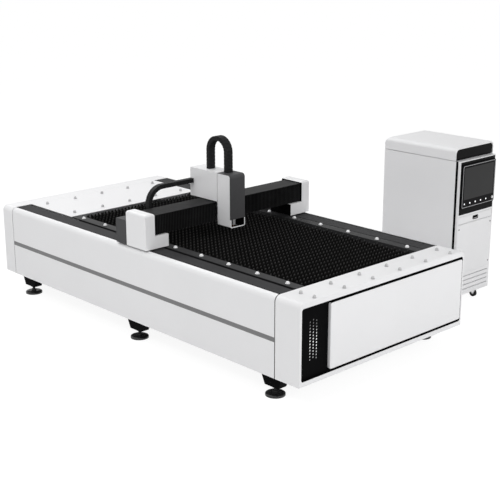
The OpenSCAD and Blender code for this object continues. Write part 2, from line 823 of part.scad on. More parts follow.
module y_rails() color("silver") at_bed() for (z = [y_rail_low, y_rail_high])
  span([beam_front, -y_rail_l / 2, z - y_rail_s / 2], [beam_front + y_rail_s, y_rail_l / 2, z + y_rail_s / 2]);

module y_rack() color("gray") at_bed()
  span([beam_x - y_rack_w, -y_rail_l / 2, y_rack_z], [beam_x, y_rail_l / 2, y_rack_z + y_rack_h]);

// Pleated cover in front of the beam, from y0 to y1
module bellows(y0, y1) {
  n = round((y1 - y0) / fold_pitch);
  p = (y1 - y0) / n;
  translate([0, 0, beam_base + bellows_m]) linear_extrude(beam_h - 2 * bellows_m) polygon(concat(
    [for (k = [0 : n]) each [
      [bellows_x1 - fold_d, y0 + k * p],
      if (k < n) [bellows_x1, y0 + (k + 0.5) * p]
    ]],
    [for (k = [n : -1 : 0]) each [
      [bellows_x1 - fold_d - fold_wall, y0 + k * p],
      if (k > 0) [bellows_x1 - fold_wall, y0 + (k - 0.5) * p]
    ]]
  ));
}
module bellows_left() color([0.06, 0.06, 0.06]) at_bed() bellows(-end_upper_in, head_y0 - run);
module bellows_right() color([0.06, 0.06, 0.06]) at_bed() bellows(head_y1 + run, end_upper_in);

// Cable chains
module link_cut(w) for (s = [-1, 1])
  translate([s * (chain_t / 2), 0]) square([2 * link_d, link_d], center = true);
module y_chain() color([0.12, 0.12, 0.12]) at_bed() {
  bend_y = head_y0 - y_chain_run;
  mid_z = y_chain_top - y_chain_r;
  along_x(y_chain_x - y_chain_w / 2, y_chain_x + y_chain_w / 2) difference() {
    union() {
      plate2d([bend_y, y_chain_top - chain_t / 2], [head_y0, y_chain_top + chain_t / 2]);
      plate2d([bend_y, y_chain_low_z - chain_t / 2], [bend_y + y_chain_low, y_chain_low_z + chain_t / 2]);
      intersection() {
        translate([bend_y, mid_z]) difference() {
          circle(y_chain_r + chain_t / 2);
          circle(y_chain_r - chain_t / 2);
        }
        plate2d([bend_y - 2 * y_chain_r, 0], [bend_y, 2 * y_chain_top]);
      }
    }
    for (y = [bend_y + link_pitch / 2 : link_pitch : head_y0 - link_pitch / 2])
      translate([y, y_chain_top]) rotate(90) link_cut();
    for (y = [bend_y + link_pitch / 2 : link_pitch : bend_y + y_chain_low - link_pitch / 2])
      translate([y, y_chain_low_z]) rotate(90) link_cut();
    for (k = [0 : floor(PI * y_chain_r / link_pitch)])
      translate([bend_y, mid_z]) rotate(90 + k * link_pitch / y_chain_r * 180 / PI)
        translate([y_chain_r, 0]) link_cut();
  }
}

module z_chain() color([0.12, 0.12, 0.12]) at_bed()
  along_y(head_y - z_chain_w / 2, head_y + z_chain_w / 2) translate([z_chain_x0, head_z1]) difference() {
    union() {
      for (x = [0, z_chain_span])
        plate2d([x - chain_t / 2, 0], [x + chain_t / 2, z_chain_leg]);
      intersection() {
        translate([z_chain_r, z_chain_leg]) difference() {
          circle(z_chain_r + chain_t / 2);
          circle(z_chain_r - chain_t / 2);
        }
        plate2d([-z_chain_span, z_chain_leg], [2 * z_chain_span, 2 * head_z1]);
      }
    }
    for (x = [0, z_chain_span], z = [link_pitch / 2 : link_pitch : z_chain_leg - link_pitch / 2])
      translate([x, z]) link_cut();
    for (k = [0 : floor(PI * z_chain_r / link_pitch)])
      translate([z_chain_r, z_chain_leg]) rotate(k * link_pitch / z_chain_r * 180 / PI)
        translate([z_chain_r, 0]) link_cut();
  }

// Carriage across the beam
module carriage_plate() color("silver") at_bed() difference() {
  union() {
    span([carriage_x0, head_y0 + head_t, plate_low], [carriage_x1, head_y1 - head_t, plate_high]);
    for (z = [y_rail_low, y_rail_high])
      span([beam_front + block_lift / 2, head_y0 + head_t, z - block_w / 4],
           [carriage_x0, head_y1 - head_t, z + block_w / 4]);
    span([carriage_x1, head_y - z_motor_s / 2, z_bracket_z],
         [z_screw_x + z_motor_s / 2, head_y + z_motor_s / 2, z_bracket_z + z_bracket_t]);
  }
  for (z = [y_rail_low, y_rail_high])
    span([beam_front, head_y0, z - y_rail_s / 2 - run], [beam_front + y_rail_s + run, head_y1, z + y_rail_s / 2 + run]);
  translate([z_screw_x, head_y, z_bracket_z - over]) cylinder(r = screw_r + fit, h = z_bracket_t + 2 * over);
}

module rear_housing() color("whitesmoke") at_bed() difference() {
  span([rear_x0, head_y0, rear_z0], [rear_x1, head_y1, head_z1]);
  span([rear_x0 + head_t, head_y0 + head_t, floor_top], [rear_x1 + over, head_y1 - head_t, head_z1 - head_t]);
  span([carriage_x0, head_y0 + head_t, rear_z0 - over], [rear_x1 + over, head_y1 - head_t, head_z1 - head_t]);
  translate([y_pinion_x, head_y, rear_z0 - over]) cylinder(r = y_shaft_r + blade_gap, h = head_t + 2 * over);
}

module y_motor() color([0.15, 0.15, 0.16]) at_bed() translate([y_pinion_x, head_y, floor_top]) difference() {
  translate([0, 0, y_motor_h / 2]) cube([y_motor_s, y_motor_s, y_motor_h], center = true);
  translate([0, 0, -over]) cylinder(r = y_shaft_r + fit, h = y_motor_h / 4);
}

module y_pinion() color("silver") at_bed() translate([y_pinion_x, head_y, y_rack_z + 1]) {
  cylinder(r = y_pinion_r, h = y_pinion_h);
  cylinder(r = y_shaft_r, h = floor_top + y_motor_h / 8 - y_rack_z);
}

module z_rails() color("silver") at_bed() for (s = [-1, 1])
  span([carriage_x1, head_y + s * z_rail_y - z_rail_w / 2, z_rail_low],
       [carriage_x1 + z_rail_d, head_y + s * z_rail_y + z_rail_w / 2, z_rail_high]);

module z_motor() color([0.15, 0.15, 0.16]) at_bed()
  translate([z_screw_x, head_y, z_bracket_z + z_bracket_t + z_motor_h / 2])
    cube([z_motor_s, z_motor_s, z_motor_h], center = true);

module z_screw() color("silver") at_bed() translate([z_screw_x, head_y, z_rail_low + rail_end])
  cylinder(r = screw_r, h = z_bracket_z + z_bracket_t - run - z_rail_low - rail_end);

// Lifting slide with the cutting head
module z_plate() color("gray") at_bed() difference() {
  union() {
    span([z_plate_x, head_y - z_rail_y - z_block_w / 2, z_plate_low],
         [z_plate_x + z_plate_t, head_y + z_rail_y + z_block_w / 2, z_plate_low + z_plate_h]);
    for (s = [-1, 1], z = [z_plate_low, z_plate_low + z_plate_h - z_block_h])
      span([carriage_x1 + over, head_y + s * z_rail_y - z_block_w / 2, z],
           [z_plate_x, head_y + s * z_rail_y + z_block_w / 2, z + z_block_h]);
    span([z_screw_x - z_nut_w / 2, head_y - z_nut_w / 2, z_plate_low + z_plate_h / 2 - z_nut_h / 2],
         [z_plate_x, head_y + z_nut_w / 2, z_plate_low + z_plate_h / 2 + z_nut_h / 2]);
    span([z_plate_x + z_plate_t, head_y - optic_w / 4, z_plate_low + z_block_h],
         [head_cx - body_r / 2, head_y + optic_w / 4, z_plate_low + z_plate_h - z_block_h]);
    span([z_plate_x, head_y0 + head_t, z_plate_low + z_block_h],
         [z_plate_x + z_plate_t, head_y1 - head_t, z_plate_low + z_plate_h - z_block_h]);
  }
  for (s = [-1, 1])
    span([carriage_x1, head_y + s * z_rail_y - z_rail_w / 2 - run, 0],
         [carriage_x1 + z_rail_d + run, head_y + s * z_rail_y + z_rail_w / 2 + run, head_z1]);
  translate([z_screw_x, head_y, 0]) cylinder(r = screw_r + run, h = head_z1);
  translate([head_cx, head_y, 0]) cylinder(r = body_r, h = head_z1);
}

// Side view of the head, with its upper front corner round
module head2d(x1, z0, z1, r) {
  plate2d([head_x0, z0], [x1 - r, z1]);
  plate2d([head_x0, z0], [x1, z1 - r]);
  translate([x1 - r, z1 - r]) circle(r);
}
// Front view of the channel that the head housing is bent to
module channel2d(i) round2d([head_y0 + i, head_z0 + i], [head_y1 - i, 2 * head_z1], rim_r - i);

module head_housing() color("whitesmoke") at_bed() difference() {
  union() {
    intersection() {
      along_x(head_x0, head_x1) difference() {
        channel2d(0);
        channel2d(head_t);
      }
      along_y(head_y0 - over, head_y1 + over) head2d(head_face, head_z0 - over, head_z1 - head_t, head_r + run);
    }
    along_x(head_face - over, head_x1) difference() {
      intersection() {
        channel2d(0);
        plate2d([head_y0, head_z0], [head_y1, cover_low - run]);
      }
      channel2d(rim_w);
    }
  }
  span([head_x0 - over, head_y - z_rail_y - z_rail_w, head_z0 - over],
       [carriage_x1 + z_rail_d + blade_gap, head_y + z_rail_y + z_rail_w, head_z0 + head_t + over]);
  translate([head_cx, head_y, head_z0 - over]) cylinder(r = body_r, h = head_t + 2 * over);
}

module head_front_cover() color([0.28, 0.28, 0.28]) at_bed() along_y(head_y0, head_y1) difference() {
  head2d(head_x1, cover_low, head_z1, head_r + front_cover_t);
  head2d(head_face, 0, head_z1 - head_t, head_r);
}

module cutting_head() color("silver") at_bed() translate([head_cx, head_y, 0]) {
  translate([-optic_w / 2, -optic_w / 2, optic_z]) cube([optic_w, optic_w, optic_h]);
  translate([0, 0, optic_z - body_h]) cylinder(r = body_r, h = body_h);
  translate([0, 0, nozzle_tip + nozzle_h])
    cylinder(r = body_r * neck_share, h = optic_z - body_h - nozzle_tip - nozzle_h);
}

module nozzle() color("peru") at_bed() translate([head_cx, head_y, nozzle_tip]) rotate_extrude()
  polygon([[tip_r / 3, 0], [tip_r, 0], [nozzle_r, nozzle_h / 2], [nozzle_r, nozzle_h], [tip_r / 3, nozzle_h]]);

// Control cabinet
module cab_side2d(i) {
  plate2d([cab_x0 + i, cab_z + i], [cab_x1, cab_h - cab_r]);
  plate2d([cab_x0 + cab_r, cab_z + i], [cab_x1, cab_h - i]);
  translate([cab_x0 + cab_r, cab_h - cab_r]) circle(cab_r - i);
}
module front2d(i, z) plate2d([groove_x - i - over, cab_z + i], [cab_front - i, z]);
module cab_back2d(i) intersection() {
  cab_side2d(i);
  plate2d([cab_x0, 0], [groove_x - i, 2 * cab_h]);
}
module cab_inside() {
  along_y(-cab_w / 2 + cab_t, cab_w / 2 - cab_t) cab_back2d(cab_t);
  along_y(-front_w / 2 + cab_t, front_w / 2 - cab_t) front2d(cab_t, box_top - cab_t);
}
module on_front() translate([cab_front, 0, fascia_z]) children();

module cabinet_body() color("gainsboro") at_cabinet() {
  cabinet_shell();
  both_sides() span([cab_front - drawer_d, fascia_w / 2 - runner_w, drawer_z0 + drawer_gap - run - runner_h],
                    [cab_front - handle_d - 2 * cab_t, front_w / 2 - cab_t / 2, drawer_z0 + drawer_gap - run]);
}
module cabinet_shell() difference() {
  intersection() {
    union() {
      along_y(-cab_w / 2, cab_w / 2) cab_back2d(0);
      along_y(-front_w / 2, front_w / 2) front2d(0, cap_z);
      both_sides() span([groove_x - over, cab_w / 2 - cab_t, cab_z], [cab_x1, cab_w / 2, cap_z]);
    }
    span([cab_x0, -cab_w, cab_z], [cab_front, cab_w, box_top]);
  }
  cab_inside();
  on_front() span([-glass_t, -fascia_w / 2, 0], [over, fascia_w / 2, fascia_h]);
  span([cab_front - cab_t - over, -fascia_w / 2, drawer_z0 - drawer_gap],
       [cab_front + over, fascia_w / 2, drawer_z0 + drawer_h]);
  span([cab_front - service_t, -fascia_w / 2, service_z0], [cab_front + over, fascia_w / 2, service_z1]);
  for (k = [1 : louvre_n])
    span([cab_front - cab_t - over, -fascia_w / 2 + louvre_dz / 2, service_z0 - k * louvre_dz],
         [cab_front + over, fascia_w / 2 - louvre_dz / 2, service_z0 - k * louvre_dz + louvre_h]);
}

// Cap section across the cabinet, at an inset and a height, with rounded upper corners
module cap2d(i, z) round2d([-cab_w / 2 + i, 0], [cab_w / 2 - i, z], cap_r - i);

module cabinet_top() color("gainsboro") at_cabinet() intersection() {
  difference() {
    intersection() {
      along_y(-cab_w, cab_w) translate([0, over]) cab_side2d(0);
      along_x(cab_x0 - over, cab_front) cap2d(0, cab_h);
    }
    intersection() {
      along_y(-cab_w, cab_w) translate([0, over]) cab_back2d(cab_t);
      along_x(cab_x0, cab_x1) cap2d(cab_t, cab_h - cab_t);
    }
    along_x(groove_x, cab_front) cap2d(cab_t, cab_h - fascia_top);
  }
  span([cab_x0 - cab_d, -cab_w, box_top], [cab_front, cab_w, 2 * cab_h]);
}

module control_fascia() color("black") at_cabinet() {
  on_front() difference() {
    span([-glass_t, -fascia_w / 2, 0], [0, fascia_w / 2, fascia_h]);
    button_hole();
  }
  intersection() {
    along_x(groove_x, groove_x + glass_t) cap2d(cab_t + run, cab_h - fascia_top - run);
    span([cab_x0, -cab_w, box_top + seam], [cab_front, cab_w, 2 * cab_h]);
  }
  both_sides() span([groove_x, front_w / 2 + run, cab_z], [groove_x + cab_t, cab_w / 2 - cab_t - run, box_top]);
}
module button_at() translate([0, fascia_w / 2 - 3 * button_r, screen_z + button_z]) rotate([0, 90, 0]) children();
module button_hole() button_at() cylinder(r = button_r + run, h = 4 * screen_t, center = true);

module screen() color([0.15, 0.15, 0.15]) at_cabinet() on_front() difference() {
  along_x(0, screen_t) round2d([-fascia_w / 2 + 2 * cab_t, screen_z],
                               [fascia_w / 2 - 2 * cab_t, screen_z + screen_h], head_r);
  button_hole();
}

module power_button() color("white") at_cabinet() on_front() button_at()
  translate([0, 0, -glass_t]) cylinder(r = button_r, h = glass_t + screen_t + button_travel + over);

module keyboard_drawer() color("whitesmoke") at_cabinet() difference() {
  union() {
    span([cab_front - handle_d - cab_t, -fascia_w / 2 + drawer_gap, drawer_z0],
         [cab_front, fascia_w / 2 - drawer_gap, drawer_z0 + drawer_h - drawer_gap]);
    span([cab_front - drawer_d, -fascia_w / 2 + 3 * drawer_gap, drawer_z0 + drawer_gap],
         [cab_front - handle_d, fascia_w / 2 - 3 * drawer_gap, drawer_z0 + drawer_h / 2]);
  }
  span([cab_front - drawer_d + cab_t, -fascia_w / 2 + 3 * drawer_gap + cab_t, drawer_z0 + drawer_gap + cab_t],
       [cab_front - handle_d - cab_t, fascia_w / 2 - 3 * drawer_gap - cab_t, drawer_z0 + drawer_h]);
  span([cab_front - handle_d, -handle_w / 2, drawer_z0 + drawer_h / 2 - handle_h / 2],
       [cab_front + over, handle_w / 2, drawer_z0 + drawer_h / 2 + handle_h / 2]);
}

module service_panel() color("whitesmoke") at_cabinet()
  span([cab_front - service_t, -fascia_w / 2 + run, service_z0 + run],
       [cab_front, fascia_w / 2 - run, service_z1 - run]);

// Castors
castor_front_x = cab_front - castor_in;
castor_rear_x = cab_x0 + castor_in;
fork_w = wheel_w / 2 + wheel_gap;
fork_top = cab_z - run;
fork_r = wheel_w;
module fork_at(x, y, trail) translate([x, y, 0]) difference() {
  union() {
    translate([0, 0, fork_top - fork_plate_t]) cylinder(r = fork_r, h = fork_plate_t);
    for (s = [0, 1]) mirror([0, s, 0])
      along_y(fork_w, fork_w + fork_t) polygon([
        [-wheel_r / 2, fork_top - fork_plate_t], [wheel_r / 2, fork_top - fork_plate_t],
        [-trail + 2 * axle_r, wheel_r - axle_r], [-trail - 2 * axle_r, wheel_r - axle_r]
      ]);
    span([-wheel_r / 2, -fork_w - fork_t, fork_top - 2 * fork_plate_t],
         [wheel_r / 2, fork_w + fork_t, fork_top - fork_plate_t]);
  }
  translate([-trail, 0, wheel_r]) rotate([90, 0, 0]) cylinder(r = axle_r + fit, h = 4 * wheel_w, center = true);
}
module wheel_at(x, y, trail) translate([x - trail, y, wheel_r]) rotate([90, 0, 0]) {
  cylinder(r = wheel_r, h = wheel_w, center = true);
  cylinder(r = axle_r, h = 2 * (fork_w + fork_t), center = true);
}
module rear_castor_forks() color("dimgray") at_cabinet() for (s = [-1, 1]) fork_at(castor_rear_x, s * castor_y, 0);
module castor_fork_left() color("dimgray") at_cabinet() fork_at(castor_front_x, -castor_y, castor_trail);
module castor_fork_right() color("dimgray") at_cabinet() fork_at(castor_front_x, castor_y, castor_trail);
module castor_wheel_front_left() color("black") at_cabinet() wheel_at(castor_front_x, -castor_y, castor_trail);
module castor_wheel_front_right() color("black") at_cabinet() wheel_at(castor_front_x, castor_y, castor_trail);
module castor_wheel_rear_left() color("black") at_cabinet() wheel_at(castor_rear_x, -castor_y, 0);
module castor_wheel_rear_right() color("black") at_cabinet() wheel_at(castor_rear_x, castor_y, 0);

side_girders();
cross_beams();
side_panels();
side_strips();
front_end_cap();
rear_end_cap();
front_fascia();
front_panel();
rear_deck_plate();
plate_bolts();
way_covers();
ledges();
ledge_bolts();
support_slats();
slag_tray();
foot_brackets();
foot_studs();
foot_pads();
x_rails();
x_racks();
gantry_beam();
beam_top_cover();
saddles();
end_covers();
motor_covers();
x_motors();
y_rails();
y_rack();
bellows_left();
bellows_right();
y_chain();
x_pinion_left();
x_pinion_right();
carriage_plate();
rear_housing();
y_motor();
z_rails();
z_motor();
z_chain();
y_pinion();
z_screw();
z_plate();
head_housing();
head_front_cover();
cutting_head();
nozzle();
cabinet_body();
cabinet_top();
control_fascia();
screen();
power_button();
keyboard_drawer();
service_panel();
rear_castor_forks();
castor_fork_left();
castor_fork_right();
castor_wheel_front_left();
castor_wheel_front_right();
castor_wheel_rear_left();
castor_wheel_rear_right();
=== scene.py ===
"""Studio scene of an open-bed fiber laser cutting machine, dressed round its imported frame."""
import json
import math

import bmesh
import bpy
from mathutils import Matrix, Vector
from mathutils.geometry import delaunay_2d_cdt


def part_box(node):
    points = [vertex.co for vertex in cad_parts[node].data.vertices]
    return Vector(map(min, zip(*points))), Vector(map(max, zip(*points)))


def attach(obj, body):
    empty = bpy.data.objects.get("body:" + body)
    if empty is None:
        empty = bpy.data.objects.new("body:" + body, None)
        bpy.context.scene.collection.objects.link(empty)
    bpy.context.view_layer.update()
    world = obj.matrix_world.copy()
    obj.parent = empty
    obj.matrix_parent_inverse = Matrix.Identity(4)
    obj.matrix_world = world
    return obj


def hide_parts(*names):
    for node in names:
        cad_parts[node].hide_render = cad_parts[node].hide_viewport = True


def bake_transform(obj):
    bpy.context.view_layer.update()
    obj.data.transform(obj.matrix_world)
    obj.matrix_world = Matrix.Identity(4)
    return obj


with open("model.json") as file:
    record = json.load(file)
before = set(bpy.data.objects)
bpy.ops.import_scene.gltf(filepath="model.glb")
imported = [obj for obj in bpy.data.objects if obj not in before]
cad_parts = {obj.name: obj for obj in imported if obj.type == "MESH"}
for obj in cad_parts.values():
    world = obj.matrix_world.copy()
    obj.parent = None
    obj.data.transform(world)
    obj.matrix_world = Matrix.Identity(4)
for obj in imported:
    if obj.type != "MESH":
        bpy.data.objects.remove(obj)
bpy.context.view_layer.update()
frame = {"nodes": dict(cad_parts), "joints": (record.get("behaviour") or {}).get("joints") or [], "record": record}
nodes = frame["nodes"]
scene = bpy.context.scene

# Sizes of the forms that repeat, in metres
CHAIN_T = 0.045
LINK_PITCH = 0.036
FOLD_PITCH = 0.020
SLAT_T = 0.005
SLAT_PITCH = 0.075
SLAT_SHIFT = 0.0625
SLAT_START = 0.030
SLAT_RISE = 0.012
TOOTH_PITCH = 0.046
TOOTH_DEPTH = 0.034
TOOTH_FLAT = (0.38, 0.62)
SEAM_DRAW = 0.004
# How close a point counts as on a face, and how straight a face counts as facing along an axis
NEAR = 0.001
FACING = 0.9
BED_Y = (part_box("side_panels")[0].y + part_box("side_panels")[1].y) / 2


# Shader nodes
def new_material(name):
    material = bpy.data.materials.new(name)
    material.use_nodes = True
    tree = material.node_tree
    return material, tree.nodes, tree.links, tree.nodes["Principled BSDF"]


def object_coord(ns):
    return ns.new("ShaderNodeTexCoord").outputs["Object"]


def noise(ns, links, coord, scale, detail=4.0, rough=0.55):
    tex = ns.new("ShaderNodeTexNoise")
    tex.inputs["Scale"].default_value = scale
    tex.inputs["Detail"].default_value = detail
    tex.inputs["Roughness"].default_value = rough
    links.new(coord, tex.inputs["Vector"])
    return tex.outputs["Fac"]


def ramp(ns, links, fac, low, high):
    """Grades a value between two colours, over the middle of its range."""
    node = ns.new("ShaderNodeValToRGB")
    first, second = node.color_ramp.elements
    first.position, second.position = 0.3, 0.7
    first.color, second.color = (*low, 1), (*high, 1)
    links.new(fac, node.inputs["Fac"])
    return node.outputs["Color"]


def spread(ns, links, fac, low, high, start=0.0, end=1.0):
    """Maps a value from start..end to low..high."""
    node = ns.new("ShaderNodeMapRange")
    node.inputs["From Min"].default_value = start
    node.inputs["From Max"].default_value = end
    node.inputs["To Min"].default_value = low
    node.inputs["To Max"].default_value = high
    links.new(fac, node.inputs["Value"])
    return node.outputs["Result"]


def bump(ns, links, height, strength, distance):
    node = ns.new("ShaderNodeBump")
    node.inputs["Strength"].default_value = strength
    node.inputs["Distance"].default_value = distance
    links.new(height, node.inputs["Height"])
    return node.outputs["Normal"]


def maths(ns, links, operation, *values):
    """Works out a value from sockets and plain numbers."""
    node = ns.new("ShaderNodeMath")
    node.operation = operation
    for socket, value in zip(node.inputs, values):
        if isinstance(value, float):
            socket.default_value = value
        else:
            links.new(value, socket)
    return node.outputs["Value"]


def mix_colours(ns, links, factor, first, second):
    node = ns.new("ShaderNodeMix")
    node.data_type = "RGBA"
    links.new(factor, node.inputs["Factor"])
    links.new(first, node.inputs["A"])
    links.new(second, node.inputs["B"])
    return node.outputs["Result"]


def height_along_z(ns, links, coord):
    split = ns.new("ShaderNodeSeparateXYZ")
    links.new(coord, split.inputs["Vector"])
    return split.outputs["Z"]


def tint(colour, factor):
    return tuple(min(1.0, channel * factor) for channel in colour)


# Materials
def coated(name, colour, rough=0.4, peel=0.10, peel_scale=420.0, vary=0.03, metallic=0.0,
           coat=0.0, patch_scale=1.6, shine=0.5):
    """A painted, moulded or plated finish: slow colour drift, uneven gloss and a fine skin."""
    material, ns, links, shader = new_material(name)
    coord = object_coord(ns)
    rough_spread = 0.06
    drift = noise(ns, links, coord, patch_scale, 5.0)
    colours = ramp(ns, links, drift, tint(colour, 1 - vary), tint(colour, 1 + vary))
    links.new(colours, shader.inputs["Base Color"])
    smear = noise(ns, links, coord, patch_scale * 9, 6.0, 0.65)
    gloss = spread(ns, links, smear, rough - rough_spread, rough + rough_spread)
    links.new(gloss, shader.inputs["Roughness"])
    skin = noise(ns, links, coord, peel_scale, 3.0)
    links.new(bump(ns, links, skin, peel, 0.0006), shader.inputs["Normal"])
    shader.inputs["Metallic"].default_value = metallic
    shader.inputs["Coat Weight"].default_value = coat
    shader.inputs["Specular IOR Level"].default_value = shine
    return material


def brushed(name, colour, rough, axis):
    """A ground metal with fine lines along one axis."""
    material, ns, links, shader = new_material(name)
    stretch = ns.new("ShaderNodeMapping")
    scales = [260.0, 260.0, 260.0]
    scales[axis] = 4.0
    stretch.inputs["Scale"].default_value = scales
    links.new(object_coord(ns), stretch.inputs["Vector"])
    lines = noise(ns, links, stretch.outputs["Vector"], 3.0, 6.0, 0.7)
    colours = ramp(ns, links, lines, tint(colour, 0.85), tint(colour, 1.08))
    links.new(colours, shader.inputs["Base Color"])
    gloss = spread(ns, links, lines, rough - 0.08, rough + 0.1)
    links.new(gloss, shader.inputs["Roughness"])
    links.new(bump(ns, links, lines, 0.12, 0.0004), shader.inputs["Normal"])
    shader.inputs["Metallic"].default_value = 1.0
    return material


def slat_steel(name, top_z, root_z):
    """Dark mill plate with scale and spatter, brighter where the tooth tips are worn."""
    material, ns, links, shader = new_material(name)
    coord = object_coord(ns)
    height = spread(ns, links, height_along_z(ns, links, coord), 0.0, 1.0, root_z, top_z)
    scale = noise(ns, links, coord, 38.0, 8.0, 0.7)
    dark = ramp(ns, links, scale, (0.0015, 0.0015, 0.0015), (0.006, 0.0058, 0.0056))
    rub = noise(ns, links, coord, 90.0, 4.0)
    worn = ramp(ns, links, rub, (0.03, 0.03, 0.03), (0.085, 0.084, 0.083))
    tip = maths(ns, links, "POWER", height, 3.0)
    links.new(mix_colours(ns, links, tip, dark, worn), shader.inputs["Base Color"])
    links.new(spread(ns, links, scale, 0.45, 0.8), shader.inputs["Roughness"])
    links.new(bump(ns, links, scale, 0.35, 0.001), shader.inputs["Normal"])
    shader.inputs["Specular IOR Level"].default_value = 0.05
    return material


def bellows_cloth(name):
    """Coated black cloth with a fine weave, and a painted highlight that makes it paler along its ridges."""
    material, ns, links, shader = new_material(name)
    coord = object_coord(ns)
    drift = noise(ns, links, coord, 6.0, 5.0)
    ridge = ns.new("ShaderNodeAttribute")
    ridge.attribute_name = "ridge"
    # painted highlight: the pleat ridges are mixed towards a paler grey
    painted_ridge_highlight = maths(ns, links, "POWER", ridge.outputs["Fac"], 8.0)
    dark = ramp(ns, links, drift, (0.0022, 0.0022, 0.0024), (0.005, 0.005, 0.0054))
    pale = ramp(ns, links, drift, (0.05, 0.05, 0.051), (0.075, 0.075, 0.077))
    links.new(mix_colours(ns, links, painted_ridge_highlight, dark, pale), shader.inputs["Base Color"])
    weave = ns.new("ShaderNodeTexWave")
    weave.wave_type = "BANDS"
    weave.bands_direction = "Z"
    weave.inputs["Scale"].default_value = 160.0
    weave.inputs["Distortion"].default_value = 0.6
    links.new(coord, weave.inputs["Vector"])
    links.new(bump(ns, links, weave.outputs["Fac"], 0.15, 0.0005), shader.inputs["Normal"])
    shader.inputs["Roughness"].default_value = 0.62
    shader.inputs["Specular IOR Level"].default_value = 0.06
    return material


def gloss_black(name, colour=(0.0022, 0.0022, 0.0025), rough=0.08, shine=0.04):
    """Glossy black glass with faint smears."""
    material, ns, links, shader = new_material(name)
    smear = noise(ns, links, object_coord(ns), 7.0, 6.0, 0.6)
    colours = ramp(ns, links, smear, tint(colour, 0.8), tint(colour, 1.3))
    links.new(colours, shader.inputs["Base Color"])
    links.new(spread(ns, links, smear, rough * 0.7, rough * 1.6), shader.inputs["Roughness"])
    shader.inputs["Specular IOR Level"].default_value = shine
    return material


def lamp_white(name, strength):
    """A small lit lens with a slightly uneven glow."""
    material, ns, links, shader = new_material(name)
    glow = noise(ns, links, object_coord(ns), 60.0, 3.0)
    colour = ramp(ns, links, glow, (0.82, 0.84, 0.86), (1.0, 1.0, 1.0))
    links.new(colour, shader.inputs["Base Color"])
    links.new(colour, shader.inputs["Emission Color"])
    shader.inputs["Emission Strength"].default_value = strength
    shader.inputs["Roughness"].default_value = 0.3
    return material


def painted_glow_mesh(name, middle_z):
    """A grey mesh that glows by itself, brightest at one height: a painted glow, with no light behind it."""
    material, ns, links, shader = new_material(name)
    coord = object_coord(ns)
    off = maths(ns, links, "SUBTRACT", height_along_z(ns, links, coord), middle_z)
    away = maths(ns, links, "ABSOLUTE", off)
    glow = spread(ns, links, away, 1.0, 0.08, 0.02, 0.17)
    grain = noise(ns, links, coord, 300.0, 3.0)
    colours = ramp(ns, links, grain, (0.10, 0.10, 0.10), (0.16, 0.16, 0.16))
    links.new(colours, shader.inputs["Base Color"])
    # painted glow: the mesh emits light itself, fading away from middle_z
    shader.inputs["Emission Color"].default_value = (1, 1, 1, 1)
    links.new(glow, shader.inputs["Emission Strength"])
    return material


WHITE = coated("white_powder_coat", (0.79, 0.79, 0.80), rough=0.36, peel=0.06, vary=0.012)
DARK = coated("dark_grey_texture", (0.058, 0.058, 0.060), rough=0.55, peel=0.25,
              peel_scale=650.0, vary=0.08, shine=0.15)
LEDGE = coated("ledge_paint", (0.028, 0.028, 0.029), rough=0.5, peel=0.2, vary=0.1, shine=0.1)
WAY = coated("way_cover_band", (0.036, 0.036, 0.0375), rough=0.6, peel=0.1, vary=0.10,
             patch_scale=3.0, shine=0.06)
STRIP = coated("grey_side_strip", (0.16, 0.16, 0.163), rough=0.42, peel=0.08, vary=0.04)
BLACK = coated("black_paint", (0.0022, 0.0022, 0.0025), rough=0.55, peel=0.08, vary=0.15,
               shine=0.02)
FRAME = coated("frame_grey_paint", (0.20, 0.20, 0.21), rough=0.5, peel=0.2, vary=0.08)
STEEL = brushed("ground_steel", (0.52, 0.52, 0.53), rough=0.3, axis=0)
ZINC = coated("zinc_plate", (0.62, 0.62, 0.63), rough=0.3, peel=0.1, vary=0.08, metallic=1.0,
              patch_scale=30.0)
BOLT = coated("bolt_plate", (0.46, 0.46, 0.465), rough=0.34, peel=0.1, vary=0.1, metallic=0.2,
              patch_scale=30.0)
BRIGHT = coated("bright_bolt", (0.86, 0.86, 0.87), rough=0.3, peel=0.05, vary=0.05,
                patch_scale=30.0)
ALLOY = brushed("machined_alloy", (0.62, 0.62, 0.63), rough=0.34, axis=2)
MOTOR = coated("motor_black", (0.02, 0.02, 0.021), rough=0.45, peel=0.2, vary=0.12, shine=0.2)
CHAIN = coated("chain_plastic", (0.010, 0.010, 0.0105), rough=0.5, peel=0.12, vary=0.1,
               patch_scale=12.0, shine=0.1)
RUBBER = coated("castor_rubber", (0.012, 0.012, 0.012), rough=0.65, peel=0.25, vary=0.2,
                patch_scale=20.0, shine=0.2)
COPPER = brushed("turned_copper", (0.62, 0.34, 0.20), rough=0.25, axis=2)
CLOTH = bellows_cloth("bellows_cloth")
GLASS = gloss_black("fascia_glass", shine=0.05)
DISPLAY = gloss_black("display_glass", (0.005, 0.005, 0.0055), 0.1, shine=0.24)
PAD = coated("pad_black", (0.010, 0.010, 0.0105), rough=0.32, peel=0.05, vary=0.15)
TOP_BAND = coated("beam_top_band", (0.008, 0.008, 0.0085), rough=0.5, peel=0.15, vary=0.15,
                  shine=0.07)
BEZEL = gloss_black("screen_bezel", (0.004, 0.004, 0.0045), 0.16)
LAMP = lamp_white("key_lamp", 0.6)
BUTTON = coated("button_white", (0.74, 0.74, 0.75), rough=0.25, peel=0.03, vary=0.02, coat=0.3)
LIGHT_EDGE = coated("bezel_trim", (0.45, 0.45, 0.46), rough=0.3, peel=0.05, vary=0.05,
                    metallic=0.6)

